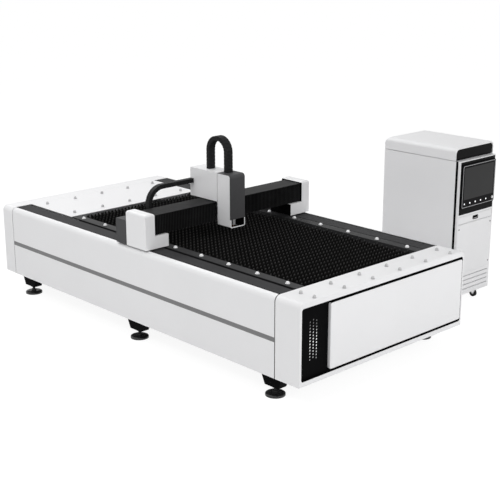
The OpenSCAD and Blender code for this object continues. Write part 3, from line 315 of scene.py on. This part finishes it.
finish_of = {
    WHITE: ("side_panels front_end_cap rear_end_cap front_panel rear_deck_plate end_covers "
            "rear_housing head_housing cabinet_body cabinet_top service_panel keyboard_drawer"),
    DARK: "gantry_beam motor_covers head_front_cover",
    LEDGE: "ledges",
    WAY: "way_covers",
    STRIP: "side_strips",
    BLACK: "front_fascia foot_brackets",
    PAD: "foot_pads",
    TOP_BAND: "beam_top_cover",
    FRAME: "side_girders cross_beams slag_tray",
    STEEL: ("x_rails x_racks y_rails y_rack x_pinion_left x_pinion_right y_pinion z_screw "
            "z_rails saddles"),
    ZINC: "rear_castor_forks castor_fork_left castor_fork_right",
    BOLT: "plate_bolts",
    BRIGHT: "ledge_bolts",
    ALLOY: "carriage_plate z_plate cutting_head",
    MOTOR: "x_motors y_motor z_motor foot_studs",
    CHAIN: "y_chain z_chain",
    RUBBER: ("castor_wheel_front_left castor_wheel_front_right castor_wheel_rear_left "
             "castor_wheel_rear_right"),
    COPPER: "nozzle",
    CLOTH: "bellows_left bellows_right",
    GLASS: "control_fascia",
    BEZEL: "screen",
    BUTTON: "power_button",
}
node_finish = {node: finish for finish, names in finish_of.items() for node in names.split()}
node_body = {node: body for body, members in frame["record"]["behaviour"]["bodies"].items()
             for node in members}


def set_material(obj, material):
    obj.data.materials.clear()
    obj.data.materials.append(material)


for node_name, node_material in node_finish.items():
    set_material(nodes[node_name], node_material)


# Meshes
def add_mesh(name, verts, faces, material, smooth_deg=None):
    mesh = bpy.data.meshes.new(name)
    mesh.from_pydata([tuple(v) for v in verts], [], faces)
    mesh.validate()
    obj = bpy.data.objects.new(name, mesh)
    scene.collection.objects.link(obj)
    set_material(obj, material)
    if smooth_deg is not None:
        soften(obj, smooth_deg)
    return obj


def soften(obj, smooth_deg):
    for polygon in obj.data.polygons:
        polygon.use_smooth = True
    obj.data.set_sharp_from_angle(angle=math.radians(smooth_deg))


def face_outward(obj):
    bm = bmesh.new()
    bm.from_mesh(obj.data)
    bmesh.ops.recalc_face_normals(bm, faces=bm.faces[:])
    bm.to_mesh(obj.data)
    bm.free()


def circle(a, b, radius, sides):
    angles = [2 * math.pi * k / sides for k in range(sides)]
    return [(a + radius * math.cos(t), b + radius * math.sin(t)) for t in angles]


def rounded_outline(a0, b0, a1, b1, radius, steps=6):
    points = []
    for ca, cb, turn in ((a1 - radius, b1 - radius, 0), (a0 + radius, b1 - radius, 1),
                         (a0 + radius, b0 + radius, 2), (a1 - radius, b0 + radius, 3)):
        for k in range(steps + 1):
            angle = (turn + k / steps) * math.pi / 2
            points.append((ca + radius * math.cos(angle), cb + radius * math.sin(angle)))
    return points


def bridge(faces, first, second, size):
    """Joins two rings of points with four-sided faces."""
    faces += [[first + i, first + (i + 1) % size, second + (i + 1) % size, second + i]
              for i in range(size)]


def loft(faces, base, size, rings):
    """Closes a stack of equal rings of points: its sides, its foot and its top."""
    for k in range(rings - 1):
        bridge(faces, base + k * size, base + (k + 1) * size, size)
    faces.append([base + i for i in reversed(range(size))])
    faces.append([base + (rings - 1) * size + i for i in range(size)])


def dress(node, width, broad=None, broad_width=0.0, shift=None):
    """Stands a copy of a node, with its sharp edges rounded, in the node's place.

    broad picks the edges that get the broad round, and shift draws single points back for an
    open seam. No point leaves the node's own box."""
    flat, sharp = math.radians(0.6), math.radians(35.0)
    mesh = nodes[node].data.copy()
    mesh.name = "dressed_" + node
    bm = bmesh.new()
    bm.from_mesh(mesh)
    bmesh.ops.remove_doubles(bm, verts=bm.verts[:], dist=1e-5)
    bmesh.ops.dissolve_limit(bm, angle_limit=flat, verts=bm.verts[:], edges=bm.edges[:])
    if shift:
        for vert in bm.verts:
            vert.co += Vector(shift(vert.co))
    for pick, offset, steps in ((broad, broad_width, 5), (lambda edge: True, width, 2)):
        edges = [e for e in bm.edges if pick and len(e.link_faces) == 2
                 and e.calc_face_angle(0) > sharp and pick(e)]
        if edges:
            bmesh.ops.bevel(bm, geom=edges, offset=offset, offset_type="OFFSET", segments=steps,
                            profile=0.5, affect="EDGES", clamp_overlap=True)
    lo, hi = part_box(node)
    for vert in bm.verts:
        vert.co = [min(max(vert.co[i], lo[i]), hi[i]) for i in range(3)]
    bmesh.ops.recalc_face_normals(bm, faces=bm.faces[:])
    bm.to_mesh(mesh)
    bm.free()
    obj = bpy.data.objects.new("dressed_" + node, mesh)
    scene.collection.objects.link(obj)
    set_material(obj, node_finish[node])
    soften(obj, 30)
    weighted = obj.modifiers.new("weighted", "WEIGHTED_NORMAL")
    weighted.keep_sharp = True
    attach(obj, node_body[node])
    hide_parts(node)
    return obj


def paint(obj, material, test):
    """Gives a second finish to the faces that pass a test on their middle and direction."""
    obj.data.materials.append(material)
    for polygon in obj.data.polygons:
        if test(polygon.center, polygon.normal):
            polygon.material_index = len(obj.data.materials) - 1


def slit(obj, place, normal, test):
    """Cuts the faces that pass a test along a plane."""
    bm = bmesh.new()
    bm.from_mesh(obj.data)
    faces = [f for f in bm.faces if test(f.calc_center_median(), f.normal)]
    edges = {e for f in faces for e in f.edges}
    verts = {v for f in faces for v in f.verts}
    bmesh.ops.bisect_plane(bm, geom=[*faces, *edges, *verts], plane_co=place, plane_no=normal)
    bm.to_mesh(obj.data)
    bm.free()


# Bed casing: open seams beside the end caps
panels_lo, panels_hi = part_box("side_panels")
cap_lo, cap_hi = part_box("front_end_cap")


def panel_seam(co):
    if co.x > panels_hi.x - NEAR:
        return -SEAM_DRAW, 0.0, 0.0
    return SEAM_DRAW if co.x < panels_lo.x + NEAR else 0.0, 0.0, 0.0


def on_front_round(edge):
    """The front cap's upright corners and its upper front edge."""
    corner, below_top = cap_hi.y - BED_Y - 2 * NEAR, 0.045
    return all(v.co.x > cap_hi.x - NEAR
               and (abs(v.co.y - BED_Y) > corner or v.co.z > cap_hi.z - below_top)
               for v in edge.verts)


side_ends = dress("side_panels", 0.0012, shift=panel_seam)
# painted shade: the panels' end faces inside the open seams are black
paint(side_ends, BLACK, lambda c, n: abs(n.x) > FACING)
front_cap = dress("front_end_cap", 0.0025, broad=on_front_round, broad_width=0.012)
# painted shade: the cap's faces that face back into the bed are black
paint(front_cap, BLACK, lambda c, n: n.x < -FACING and c.x < cap_lo.x + 2 * NEAR)

# Cabinet casing: door gap, seams under the cap and over the service panel, drawer recess
cabinet_lo, cabinet_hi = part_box("cabinet_body")
cabinet_y = (cabinet_lo.y + cabinet_hi.y) / 2
cap_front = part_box("cabinet_top")[1].x
door_gap_x = cap_front + 0.020
box_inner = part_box("screen")[1].y - cabinet_y + 0.012
box_outer = cabinet_hi.y - cabinet_y - 0.006


def on_box_side(c, n):
    """The sides of the cabinet's front box."""
    return (abs(n.y) > FACING and c.x > cap_front - 0.03
            and box_inner < abs(c.y - cabinet_y) < box_outer)


cabinet = dress("cabinet_body", 0.0015)
# painted shade: the box sides back from the door gap are cut here and painted black
slit(cabinet, (door_gap_x, 0, 0), (1, 0, 0), on_box_side)
paint(cabinet, BLACK, lambda c, n: on_box_side(c, n) and c.x < door_gap_x)
cabinet_cap = dress("cabinet_top", 0.0018, shift=lambda co: (
    0.0, 0.0, SEAM_DRAW if co.z < cabinet_hi.z + NEAR else 0.0))
# painted shade: the cap's underside at the seam is black
paint(cabinet_cap, BLACK, lambda c, n: n.z < -FACING and c.z < cabinet_hi.z + 1.5 * SEAM_DRAW)

drawer_lo, drawer_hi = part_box("keyboard_drawer")
drawer_z = (drawer_lo.z + drawer_hi.z) / 2
RECESS_DEPTH, RECESS_HALF_W, RECESS_HALF_H = 0.014, 0.037, 0.020
drawer = dress("keyboard_drawer", 0.0012)
paint(drawer, BLACK, lambda c, n: drawer_hi.x - RECESS_DEPTH < c.x < drawer_hi.x - NEAR
      and abs(c.y - cabinet_y) < RECESS_HALF_W and abs(c.z - drawer_z) < RECESS_HALF_H)
service_lo, service_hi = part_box("service_panel")
dress("service_panel", 0.0012, shift=lambda co: (
    0.0, 0.0, -SEAM_DRAW if co.z > service_hi.z - NEAR else 0.0))

# Gantry casing: dark inside the head and on the end covers' inner sides
HEAD_SHELL = 0.0035
head_lo, head_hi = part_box("head_housing")
head = dress("head_housing", 0.002)
paint(head, BLACK, lambda c, n: head_lo.x + HEAD_SHELL < c.x < head_hi.x - HEAD_SHELL
      and head_lo.y + HEAD_SHELL < c.y < head_hi.y - HEAD_SHELL and c.z > head_lo.z + HEAD_SHELL)
covers = dress("end_covers", 0.0022)
paint(covers, BLACK, lambda c, n: abs(n.y) > FACING and (c.y - BED_Y) * n.y < 0)

# Way covers with painted shade, in black, round each band
way_lo, way_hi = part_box("way_covers")
way_inner = min(abs(v.co.y - BED_Y) for v in nodes["way_covers"].data.vertices)
way_rim = {"out": way_hi.y - BED_Y - 0.013, "in": way_inner + 0.005,
           "rear": way_lo.x + 0.014, "front": way_hi.x - 0.008}


def on_band(c):
    return (way_rim["in"] < abs(c.y - BED_Y) < way_rim["out"]
            and way_rim["rear"] < c.x < way_rim["front"])


way = dress("way_covers", 0.001)
for side in (-1, 1):
    for rim in ("out", "in"):
        slit(way, (0, BED_Y + side * way_rim[rim], 0), (0, 1, 0), lambda c, n: n.z > FACING)
for rim in ("rear", "front"):
    slit(way, (way_rim[rim], 0, 0), (1, 0, 0), lambda c, n: n.z > FACING)
# painted shade: the top faces outside each band are black, for the gap at the cover's edges
paint(way, BLACK, lambda c, n: n.z > FACING and not on_band(c))


# Bolts
def islands(node):
    """The boxes of a node's separate solids."""
    bm = bmesh.new()
    bm.from_mesh(nodes[node].data)
    bmesh.ops.remove_doubles(bm, verts=bm.verts[:], dist=1e-5)
    boxes, seen = [], set()
    for first in bm.verts:
        if first in seen:
            continue
        group, todo = [], [first]
        seen.add(first)
        while todo:
            vert = todo.pop()
            group.append(vert.co.copy())
            for edge in vert.link_edges:
                other = edge.other_vert(vert)
                if other not in seen:
                    seen.add(other)
                    todo.append(other)
        boxes.append(tuple(Vector([pick(co[i] for co in group) for i in range(3)])
                           for pick in (min, max)))
    bm.free()
    return boxes


def bolt_heads(node, radius, height):
    """Round cap screws on washers, at the places of the node's bolts."""
    sides, crown_steps, crown_turn = 14, 4, math.radians(80)
    washer_r, washer_t, crown_from = radius * 1.3, 0.003, 0.55
    rings = [(washer_r, 0.0), (washer_r, washer_t), (radius, washer_t),
             (radius, height * crown_from)]
    for k in range(1, crown_steps + 1):
        turn = k / crown_steps * crown_turn
        rise = crown_from + (1 - crown_from) * math.sin(turn)
        rings.append((radius * math.cos(turn), height * rise))
    verts, faces = [], []
    for lo, hi in islands(node):
        middle, base = (lo + hi) / 2, len(verts)
        for ring_r, rise in rings:
            verts += [(x, y, lo.z + rise) for x, y in circle(middle.x, middle.y, ring_r, sides)]
        loft(faces, base, sides, len(rings))
    obj = add_mesh("heads_" + node, verts, faces, node_finish[node], 40)
    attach(obj, "bed")
    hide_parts(node)


bolt_heads("plate_bolts", 0.0145, 0.028)
bolt_heads("ledge_bolts", 0.0165, 0.020)

# Pieces that need rounded edges alone
rounded = {
    "rear_end_cap": 0.0025, "rear_deck_plate": 0.0015, "ledges": 0.0015,
    "motor_covers": 0.0022, "rear_housing": 0.0024, "head_front_cover": 0.003,
    "beam_top_cover": 0.002, "control_fascia": 0.0015, "screen": 0.004,
    "foot_brackets": 0.003, "power_button": 0.0015,
}
for rounded_node, edge_width in rounded.items():
    dress(rounded_node, edge_width)


# Serrated slats
def slats():
    """Slats with pointed teeth, each slat set over from the one before it."""
    lo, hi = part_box("support_slats")
    start, top = lo.x - SLAT_START, hi.z + SLAT_RISE
    count = round((hi.x - start) / SLAT_PITCH) + 1
    step = (hi.x - start - SLAT_T) / (count - 1)
    root = top - TOOTH_DEPTH
    verts, faces = [], []
    for k in range(count):
        outline = [(hi.y, lo.z), (lo.y, lo.z), (lo.y, root)]
        tooth = lo.y + (-SLAT_SHIFT * k) % TOOTH_PITCH
        while tooth + TOOTH_PITCH < hi.y:
            outline.append((tooth, root))
            outline += [(tooth + part * TOOTH_PITCH, top) for part in TOOTH_FLAT]
            tooth += TOOTH_PITCH
        outline += [(tooth, root), (hi.y, root)]
        outline = [spot for i, spot in enumerate(outline) if spot != outline[i - 1]]
        outline.reverse()
        x0, base = start + k * step, len(verts)
        verts += [(x, y, z) for x in (x0, x0 + SLAT_T) for y, z in outline]
        loft(faces, base, len(outline), 2)
    obj = add_mesh("serrated_slats", verts, faces, slat_steel("slat_steel", top, root))
    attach(obj, "bed")
    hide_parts("support_slats")


slats()


# Pleated bellows between the end covers and the head
def bellows(node, outer_y, inner_y):
    lo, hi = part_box(node)
    wall, valley = 0.004, 0.012
    turns = 2 * round(abs(outer_y - inner_y) / FOLD_PITCH)
    verts, faces, rows = [], [], []
    for z in (lo.z, hi.z):
        front, back = [], []
        for k in range(turns + 1):
            y = outer_y + (inner_y - outer_y) * k / turns
            x = hi.x if k % 2 else lo.x + valley
            front.append(len(verts))
            verts.append((x, y, z))
            back.append(len(verts))
            verts.append((x - wall, y, z))
        rows.append((front, back))
    (front0, back0), (front1, back1) = rows
    for k in range(turns):
        faces += [[front0[k], front0[k + 1], front1[k + 1], front1[k]],
                  [back0[k + 1], back0[k], back1[k], back1[k + 1]],
                  [front1[k], front1[k + 1], back1[k + 1], back1[k]],
                  [front0[k + 1], front0[k], back0[k], back0[k + 1]]]
    for k in (0, turns):
        faces.append([front0[k], front1[k], back1[k], back0[k]])
    obj = add_mesh("pleats_" + node, verts, faces, CLOTH)
    face_outward(obj)
    ridge = obj.data.attributes.new("ridge", "FLOAT", "POINT")
    for k in range(turns + 1):
        for row in rows:
            for line in row:
                ridge.data[line[k]].value = k % 2
    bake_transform(obj)
    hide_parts(node)


left_lo, left_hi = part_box("bellows_left")
right_lo, right_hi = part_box("bellows_right")
bellows("bellows_left", left_lo.y, left_hi.y)
bellows("bellows_right", right_hi.y, right_lo.y)


# Cable chains
def along(stretches, distance):
    """The place and heading at a distance along straight and round stretches, in a plane."""
    for kind, data, length in stretches:
        if distance <= length or (kind, data, length) == stretches[-1]:
            if kind == "line":
                start, heading = data
                return start + heading * distance, heading
            centre, radius, start_angle, sense = data
            angle = start_angle + sense * distance / radius
            place = centre + Vector((math.cos(angle), math.sin(angle))) * radius
            return place, Vector((-math.sin(angle), math.cos(angle))) * sense
        distance -= length


def chain_mesh(name, stretches, width, lift, material):
    """Links along a route in a plane, with a thinner neck between them.

    lift turns a place in the plane and an offset across it into 3-D."""
    total = sum(length for _, _, length in stretches)
    count = round(total / LINK_PITCH)
    pitch = total / count
    gap, neck, thinner = 0.02 * pitch, 0.05 * pitch, 0.004
    verts, faces = [], []

    def block(s0, s1, half_t, half_w, chamfer):
        base = len(verts)
        for s, shrink in ((s0, chamfer), (s0 + chamfer, 0.0), (s1 - chamfer, 0.0), (s1, chamfer)):
            place, heading = along(stretches, min(max(s, 0.0), total))
            normal = Vector((-heading.y, heading.x))
            for a, b in ((-1, -1), (1, -1), (1, 1), (-1, 1)):
                offset = normal * (a * (half_t - shrink))
                verts.append(lift(place + offset, b * (half_w - shrink)))
        loft(faces, base, 4, 4)

    for k in range(count):
        s = k * pitch
        block(s + gap, s + pitch - gap, CHAIN_T / 2, width / 2, 0.0022)
        block(s - neck, s + neck, CHAIN_T / 2 - thinner, width / 2 - thinner, 0.0005)
    obj = add_mesh(name, verts, faces, material)
    face_outward(obj)
    return obj


def lifting_chain():
    lo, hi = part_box("z_chain")
    half = CHAIN_T / 2
    left, right = lo.x + half, hi.x - half
    radius = (right - left) / 2
    spring = hi.z - half - radius
    leg = spring - lo.z
    up = Vector((0.0, 1.0))
    bend = Vector(((left + right) / 2, spring))
    stretches = [
        ("line", (Vector((left, lo.z)), up), leg),
        ("arc", (bend, radius, math.pi, -1), math.pi * radius),
        ("line", (Vector((right, spring)), -up), leg),
    ]
    middle = (lo.y + hi.y) / 2
    obj = chain_mesh("lifting_chain", stretches, hi.y - lo.y,
                     lambda p, b: (p.x, middle + b, p.y), CHAIN)
    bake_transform(obj)
    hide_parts("z_chain")


def beam_chain():
    lo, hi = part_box("y_chain")
    housing_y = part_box("rear_housing")[0].y
    half = CHAIN_T / 2
    radius = (hi.z - lo.z) / 2 - half
    bend_y = lo.y + half + radius
    top, low = hi.z - half, lo.z + half
    along_y = Vector((1.0, 0.0))
    bend = Vector((bend_y, (top + low) / 2))
    stretches = [
        ("line", (Vector((housing_y, top)), -along_y), housing_y - bend_y),
        ("arc", (bend, radius, math.pi / 2, 1), math.pi * radius),
        ("line", (Vector((bend_y, low)), along_y), hi.y - bend_y),
    ]
    middle = (lo.x + hi.x) / 2
    obj = chain_mesh("beam_chain", stretches, hi.x - lo.x,
                     lambda p, b: (middle + b, p.x, p.y), CHAIN)
    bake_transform(obj)
    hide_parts("y_chain")


lifting_chain()
beam_chain()

# Cabinet front: screen, keys, panel locks, drawer pull. Its plates sink into the face a little.
SINK = 0.001
press_axis = Vector(next(j["axis"] for j in frame["joints"] if j["name"] == "power_press"))
out_dir = -press_axis.normalized()
side_dir = Vector((0.0, 1.0, 0.0))
rise_dir = out_dir.cross(side_dir).normalized()


def face_box(node):
    """A node's extent along the cabinet's front: out of it, across it and up it."""
    spots = [(v.co.dot(out_dir), v.co.y, v.co.dot(rise_dir)) for v in nodes[node].data.vertices]
    return [[pick(s[i] for s in spots) for i in range(3)] for pick in (min, max)]


def on_face(out, across, up):
    return out_dir * out + side_dir * across + rise_dir * up


def face_plate(name, outline, out0, out1, material):
    """A flat plate on the cabinet's front, between two heights off it."""
    verts = [on_face(out, a, b) for out in (out0, out1) for a, b in outline]
    faces = []
    loft(faces, 0, len(outline), 2)
    obj = add_mesh(name, verts, faces, material, 35)
    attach(obj, "bed")


def face_ring(name, outer, inner, out0, out1, material, body="bed"):
    """A thin frame on the cabinet's front, between two outlines of equal length."""
    size = len(outer)
    verts = [on_face(out, a, b) for outline in (outer, inner) for out in (out0, out1)
             for a, b in outline]
    o0, o1, i0, i1 = (k * size for k in range(4))
    faces = []
    for first, second in ((o0, o1), (i1, i0), (o1, i1), (i0, o0)):
        bridge(faces, first, second, size)
    obj = add_mesh(name, verts, faces, material, 35)
    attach(obj, body)


def screen_parts():
    """The line round the bezel, the display and the row of lit touch keys."""
    lo, hi = face_box("screen")
    face = hi[0]

    def inset(d, radius):
        return rounded_outline(lo[1] + d, lo[2] + d, hi[1] - d, hi[2] - d, radius)

    face_ring("bezel_line", inset(0.010, 0.020), inset(0.0145, 0.0165), face - SINK,
              face + 0.0015, LIGHT_EDGE)
    rim, key_band = 0.034, 0.095
    a0, a1 = lo[1] + rim, hi[1] - rim
    b0, b1 = lo[2] + key_band, hi[2] - rim
    face_plate("display", rounded_outline(a0, b0, a1, b1, 0.004, 2), face - SINK, face + 0.0012,
               DISPLAY)
    key_r, key_rise, key_start, key_step = 0.0085, 0.05, 0.02, (a1 - a0) * 0.185
    for k in range(5):
        outline = circle(a0 + key_start + k * key_step, lo[2] + key_rise, key_r, 16)
        face_plate("touch_key_%d" % k, outline, face - SINK, face + 0.0018, LAMP)


def disc(name, centre, normal, radius, height, material, body):
    """A small round head with a chamfered rim, standing on a face."""
    sides = 20
    turn = Vector(normal).normalized().to_track_quat("Z", "Y").to_matrix()
    rings = ((radius, 0.0), (radius, height * 0.7), (radius * 0.86, height))
    verts = [Vector(centre) + turn @ Vector((a, b, rise))
             for ring_r, rise in rings for a, b in circle(0.0, 0.0, ring_r, sides)]
    faces = []
    loft(faces, 0, sides, len(rings))
    obj = add_mesh(name, verts, faces, material, 30)
    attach(obj, body)


def panel_locks():
    in_y, in_z = 0.022, 0.05
    for side_name, y in (("left", service_lo.y + in_y), ("right", service_hi.y - in_y)):
        for level_name, z in (("high", service_hi.z - in_z), ("low", service_lo.z + in_z)):
            disc("panel_lock_%s_%s" % (side_name, level_name), (service_hi.x, y, z), (1, 0, 0),
                 0.009, 0.002, STRIP, "bed")


def drawer_pull():
    """A black finger rim round the drawer's recess."""
    lo, hi = face_box("keyboard_drawer")
    middle, middle_up = (lo[1] + hi[1]) / 2, (lo[2] + hi[2]) / 2

    def outline(half_w, half_h, radius):
        return rounded_outline(middle - half_w, middle_up - half_h, middle + half_w,
                               middle_up + half_h, radius)

    face_ring("drawer_pull", outline(0.048, 0.021, 0.010), outline(RECESS_HALF_W, 0.013, 0.006),
              hi[0] - SINK, hi[0] + 0.003, BLACK, "drawer")


screen_parts()
panel_locks()
drawer_pull()

# Front of the bed: raised panel, and black fascia with a painted glow behind its air holes
fascia_lo, fascia_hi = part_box("front_fascia")
panel_lo, panel_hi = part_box("front_panel")
VENT_Y = fascia_lo.y + 0.190
VENT_Z = (fascia_lo.z + fascia_hi.z) / 2 + 0.006
VENT_ROWS, VENT_COLUMNS = 13, 3
VENT_PITCH = (0.040, 0.0285)
VENT_R = 0.0082


def raised_panel():
    """The front panel with soft corners, a rounded front edge and painted shade, in black, on its upper face."""
    left_cut, low_cut, high_cut = 0.096, 0.004, 0.009
    left, right = panel_lo.y + left_cut, panel_hi.y
    low, high = panel_lo.z + low_cut, panel_hi.z - high_cut
    corner, edge, steps = 0.020, 0.008, 4
    rings = [(panel_lo.x, 0.0)]
    for k in range(steps + 1):
        angle = k / steps * math.pi / 2
        rings.append((panel_hi.x - edge + edge * math.sin(angle), edge * (1 - math.cos(angle))))
    verts, faces = [], []
    for x, inset in rings:
        outline = rounded_outline(left + inset, low + inset, right - inset, high - inset,
                                  corner - inset)
        verts += [(x, y, z) for y, z in outline]
    loft(faces, 0, len(verts) // len(rings), len(rings))
    obj = add_mesh("raised_front_panel", verts, faces, WHITE, 30)
    # painted shade: the panel's upward faces are black, for the shadow gap above it
    paint(obj, BLACK, lambda c, n: n.z > FACING and c.x < panel_hi.x - edge * 0.6)
    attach(obj, "bed")
    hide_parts("front_panel")


def vent_spots():
    """The middles of the air holes, with every other column half a step up."""
    return [(VENT_Y + (c - (VENT_COLUMNS - 1) / 2) * VENT_PITCH[0],
             VENT_Z + (r - (VENT_ROWS - 1) / 2 + (c % 2) / 2) * VENT_PITCH[1])
            for c in range(VENT_COLUMNS) for r in range(VENT_ROWS)]


def vented_fascia():
    """The black plate behind the panel, with round air holes and a rim up to the cap."""
    plate_x = panel_lo.x
    sides, corner = 16, 0.03
    points = rounded_outline(fascia_lo.y, fascia_lo.z, fascia_hi.y, fascia_hi.z, corner)
    loops = [list(range(len(points)))]
    spots = vent_spots()
    for y, z in spots:
        loops.append(list(range(len(points), len(points) + sides)))
        points += circle(y, z, VENT_R, sides)
    edges = [(loop[k], loop[(k + 1) % len(loop)]) for loop in loops for k in range(len(loop))]
    cut = delaunay_2d_cdt([Vector(q) for q in points], edges, [], 0, 1e-7)
    flat, cells, origin = cut[0], cut[2], cut[3]

    def solid(cell):
        middle = sum((flat[i] for i in cell), Vector((0.0, 0.0))) / len(cell)
        return all((middle - Vector(spot)).length > VENT_R * 0.98 for spot in spots)

    size = len(flat)
    verts = [(x, q.x, q.y) for x in (fascia_lo.x, plate_x) for q in flat]
    kept = [cell for cell in cells if solid(cell)]
    faces = [list(reversed(cell)) for cell in kept] + [[size + i for i in cell] for cell in kept]
    place = {old: new for new, olds in enumerate(origin) for old in olds}
    for first, second in edges:
        i, j = place[first], place[second]
        faces.append([i, j, size + j, size + i])

    def rim(grow):
        across, up, radius = 0.004 + grow, 0.018 + grow, 0.024 + grow
        return rounded_outline(2 * BED_Y - panel_hi.y - across, panel_lo.z - up,
                               panel_hi.y + across, panel_hi.z + up, radius)

    inner, outer = rim(0.0), rim(0.003)
    base, ring = len(verts), len(inner)
    for outline in (inner, outer):
        for x in (plate_x, fascia_hi.x):
            verts += [(x, y, z) for y, z in outline]
    for first, second in ((1, 0), (2, 3), (3, 1), (0, 2)):
        bridge(faces, base + first * ring, base + second * ring, ring)
    obj = add_mesh("vented_fascia", verts, faces, BLACK)
    face_outward(obj)
    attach(obj, "bed")
    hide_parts("front_fascia")


def vent_glow():
    """The glowing mesh behind the air holes: a painted glow, not a lamp."""
    half_w, half_h, corner, thick = 0.075, 0.22, 0.012, 0.003
    glow_drop, gap = 0.03, 0.001
    back = fascia_lo.x - gap
    outline = rounded_outline(VENT_Y - half_w, VENT_Z - half_h, VENT_Y + half_w, VENT_Z + half_h,
                              corner)
    verts = [(x, y, z) for x in (back - thick, back) for y, z in outline]
    faces = []
    loft(faces, 0, len(outline), 2)
    obj = add_mesh("vent_light_plate", verts, faces, painted_glow_mesh("vent_mesh", VENT_Z - glow_drop))
    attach(obj, "bed")


raised_panel()
vented_fascia()
vent_glow()


# Slanted blades behind the cabinet's louvres
def louvre_blades():
    rows, pitch, slot_h, thick = 4, 0.050, 0.008, 0.0015
    top_in, foot_in, lap, drop = 0.0055, 0.018, 0.003, 0.010
    front = cabinet_hi.x
    half = (service_hi.y - service_lo.y) / 2 - 0.02
    verts, faces = [], []
    for k in range(1, rows + 1):
        z = service_lo.z - k * pitch
        top, foot, base = z + slot_h + lap, z - drop, len(verts)
        for y in (cabinet_y - half, cabinet_y + half):
            verts += [(front - top_in, y, top), (front - foot_in, y, foot),
                      (front - foot_in - thick, y, foot), (front - top_in - thick, y, top)]
        loft(faces, base, 4, 2)
    obj = add_mesh("louvre_blades", verts, faces, WHITE)
    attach(obj, "bed")


louvre_blades()

# Stage, light and camera
FLOOR_HALF = 60.0
floor_corners = [(a * FLOOR_HALF, b * FLOOR_HALF, 0)
                 for a, b in ((-1, -1), (1, -1), (1, 1), (-1, 1))]
floor_mesh = bpy.data.meshes.new("studio_floor")
floor_mesh.from_pydata(floor_corners, [], [[0, 1, 2, 3]])
floor = bpy.data.objects.new("studio_floor", floor_mesh)
scene.collection.objects.link(floor)
floor.location.z = -0.0004


def backdrop_factor(ns, links):
    """1 where a ray from the camera, a reflection or a clear surface looks at the backdrop."""
    path = ns.new("ShaderNodeLightPath").outputs
    seen = maths(ns, links, "MAXIMUM", path["Is Camera Ray"], path["Is Glossy Ray"])
    return maths(ns, links, "MAXIMUM", seen, path["Is Transmission Ray"])


def floor_material():
    """A pale floor that the camera sees as white, less the object's soft shadow."""
    material = bpy.data.materials.new("pale_floor")
    material.use_nodes = True
    ns, links = material.node_tree.nodes, material.node_tree.links
    ns.clear()
    out = ns.new("ShaderNodeOutputMaterial")
    plain_floor = ns.new("ShaderNodeBsdfDiffuse")
    plain_floor.inputs["Color"].default_value = (0.88, 0.88, 0.88, 1)
    veil = ns.new("ShaderNodeBsdfDiffuse")
    veil.inputs["Color"].default_value = (0.19, 0.19, 0.19, 1)
    glow = ns.new("ShaderNodeEmission")
    glow.inputs["Strength"].default_value = 0.912
    seen = ns.new("ShaderNodeAddShader")
    links.new(veil.outputs["BSDF"], seen.inputs[0])
    links.new(glow.outputs["Emission"], seen.inputs[1])
    mix = ns.new("ShaderNodeMixShader")
    links.new(backdrop_factor(ns, links), mix.inputs["Fac"])
    links.new(plain_floor.outputs["BSDF"], mix.inputs[1])
    links.new(seen.outputs["Shader"], mix.inputs[2])
    links.new(mix.outputs["Shader"], out.inputs["Surface"])
    return material


def studio_world():
    """White behind the object, and a softer light on it."""
    world = bpy.data.worlds.new("studio")
    world.use_nodes = True
    ns, links = world.node_tree.nodes, world.node_tree.links
    ns.clear()
    out = ns.new("ShaderNodeOutputWorld")
    mix = ns.new("ShaderNodeMixShader")
    links.new(backdrop_factor(ns, links), mix.inputs["Fac"])
    for socket, strength in ((1, 0.47), (2, 1.0)):
        background = ns.new("ShaderNodeBackground")
        background.inputs["Color"].default_value = (1, 1, 1, 1)
        background.inputs["Strength"].default_value = strength
        links.new(background.outputs["Background"], mix.inputs[socket])
    links.new(mix.outputs["Shader"], out.inputs["Surface"])
    return world


def area(name, place, aim, size, energy):
    data = bpy.data.lights.new(name, "AREA")
    data.shape = "RECTANGLE"
    data.size, data.size_y = size
    data.energy = energy
    lamp = bpy.data.objects.new(name, data)
    lamp.location = place
    lamp.rotation_euler = (Vector(aim) - Vector(place)).to_track_quat("-Z", "Y").to_euler()
    scene.collection.objects.link(lamp)


floor.data.materials.append(floor_material())
scene.world = studio_world()
area("top_softbox", (-1.4, -1.8, 6.4), (-0.8, -0.9, 0.8), (6.0, 4.0), 95.0)
area("side_softbox", (0.4, -7.0, 6.8), (0.2, -1.2, 0.8), (6.0, 2.0), 175.0)
area("corner_softbox", (7.0, -6.6, 3.6), (1.2, -0.9, 0.6), (3.0, 2.4), 45.0)
area("front_softbox", (7.8, 0.2, 3.4), (1.8, 0.2, 0.8), (5.0, 3.0), 165.0)
area("rear_softbox", (-5.6, -1.0, 6.2), (-0.6, -0.6, 0.8), (5.0, 2.0), 110.0)

scene.view_settings.view_transform = "Standard"

# The camera, from a fit of the bed's edges, seams and bolt rows in the 500 by 500 frame
PIXELS = 500.0
FOCAL_PX = 1086.86
YAW, PITCH, ROLL = (math.radians(a) for a in (-46.7261, 16.3981, -0.0683))
CAMERA_AT = Vector((8.252, BED_Y - 7.2794, 3.9422))
camera_data = bpy.data.cameras.new("camera")
camera_data.sensor_fit = "HORIZONTAL"
camera_data.sensor_width = 36.0
camera_data.lens = FOCAL_PX / PIXELS * camera_data.sensor_width
camera_data.clip_end = 300.0
camera = bpy.data.objects.new("camera", camera_data)
look = Vector((math.sin(YAW) * math.cos(PITCH), math.cos(YAW) * math.cos(PITCH), -math.sin(PITCH)))
level = Vector((math.cos(YAW), -math.sin(YAW), 0.0))
raised = level.cross(look)
right_dir = level * math.cos(ROLL) + raised * math.sin(ROLL)
up_dir = raised * math.cos(ROLL) - level * math.sin(ROLL)
turned = Matrix((right_dir, up_dir, -look)).transposed().to_4x4()
camera.matrix_world = Matrix.Translation(CAMERA_AT) @ turned
scene.collection.objects.link(camera)
scene.camera = camera
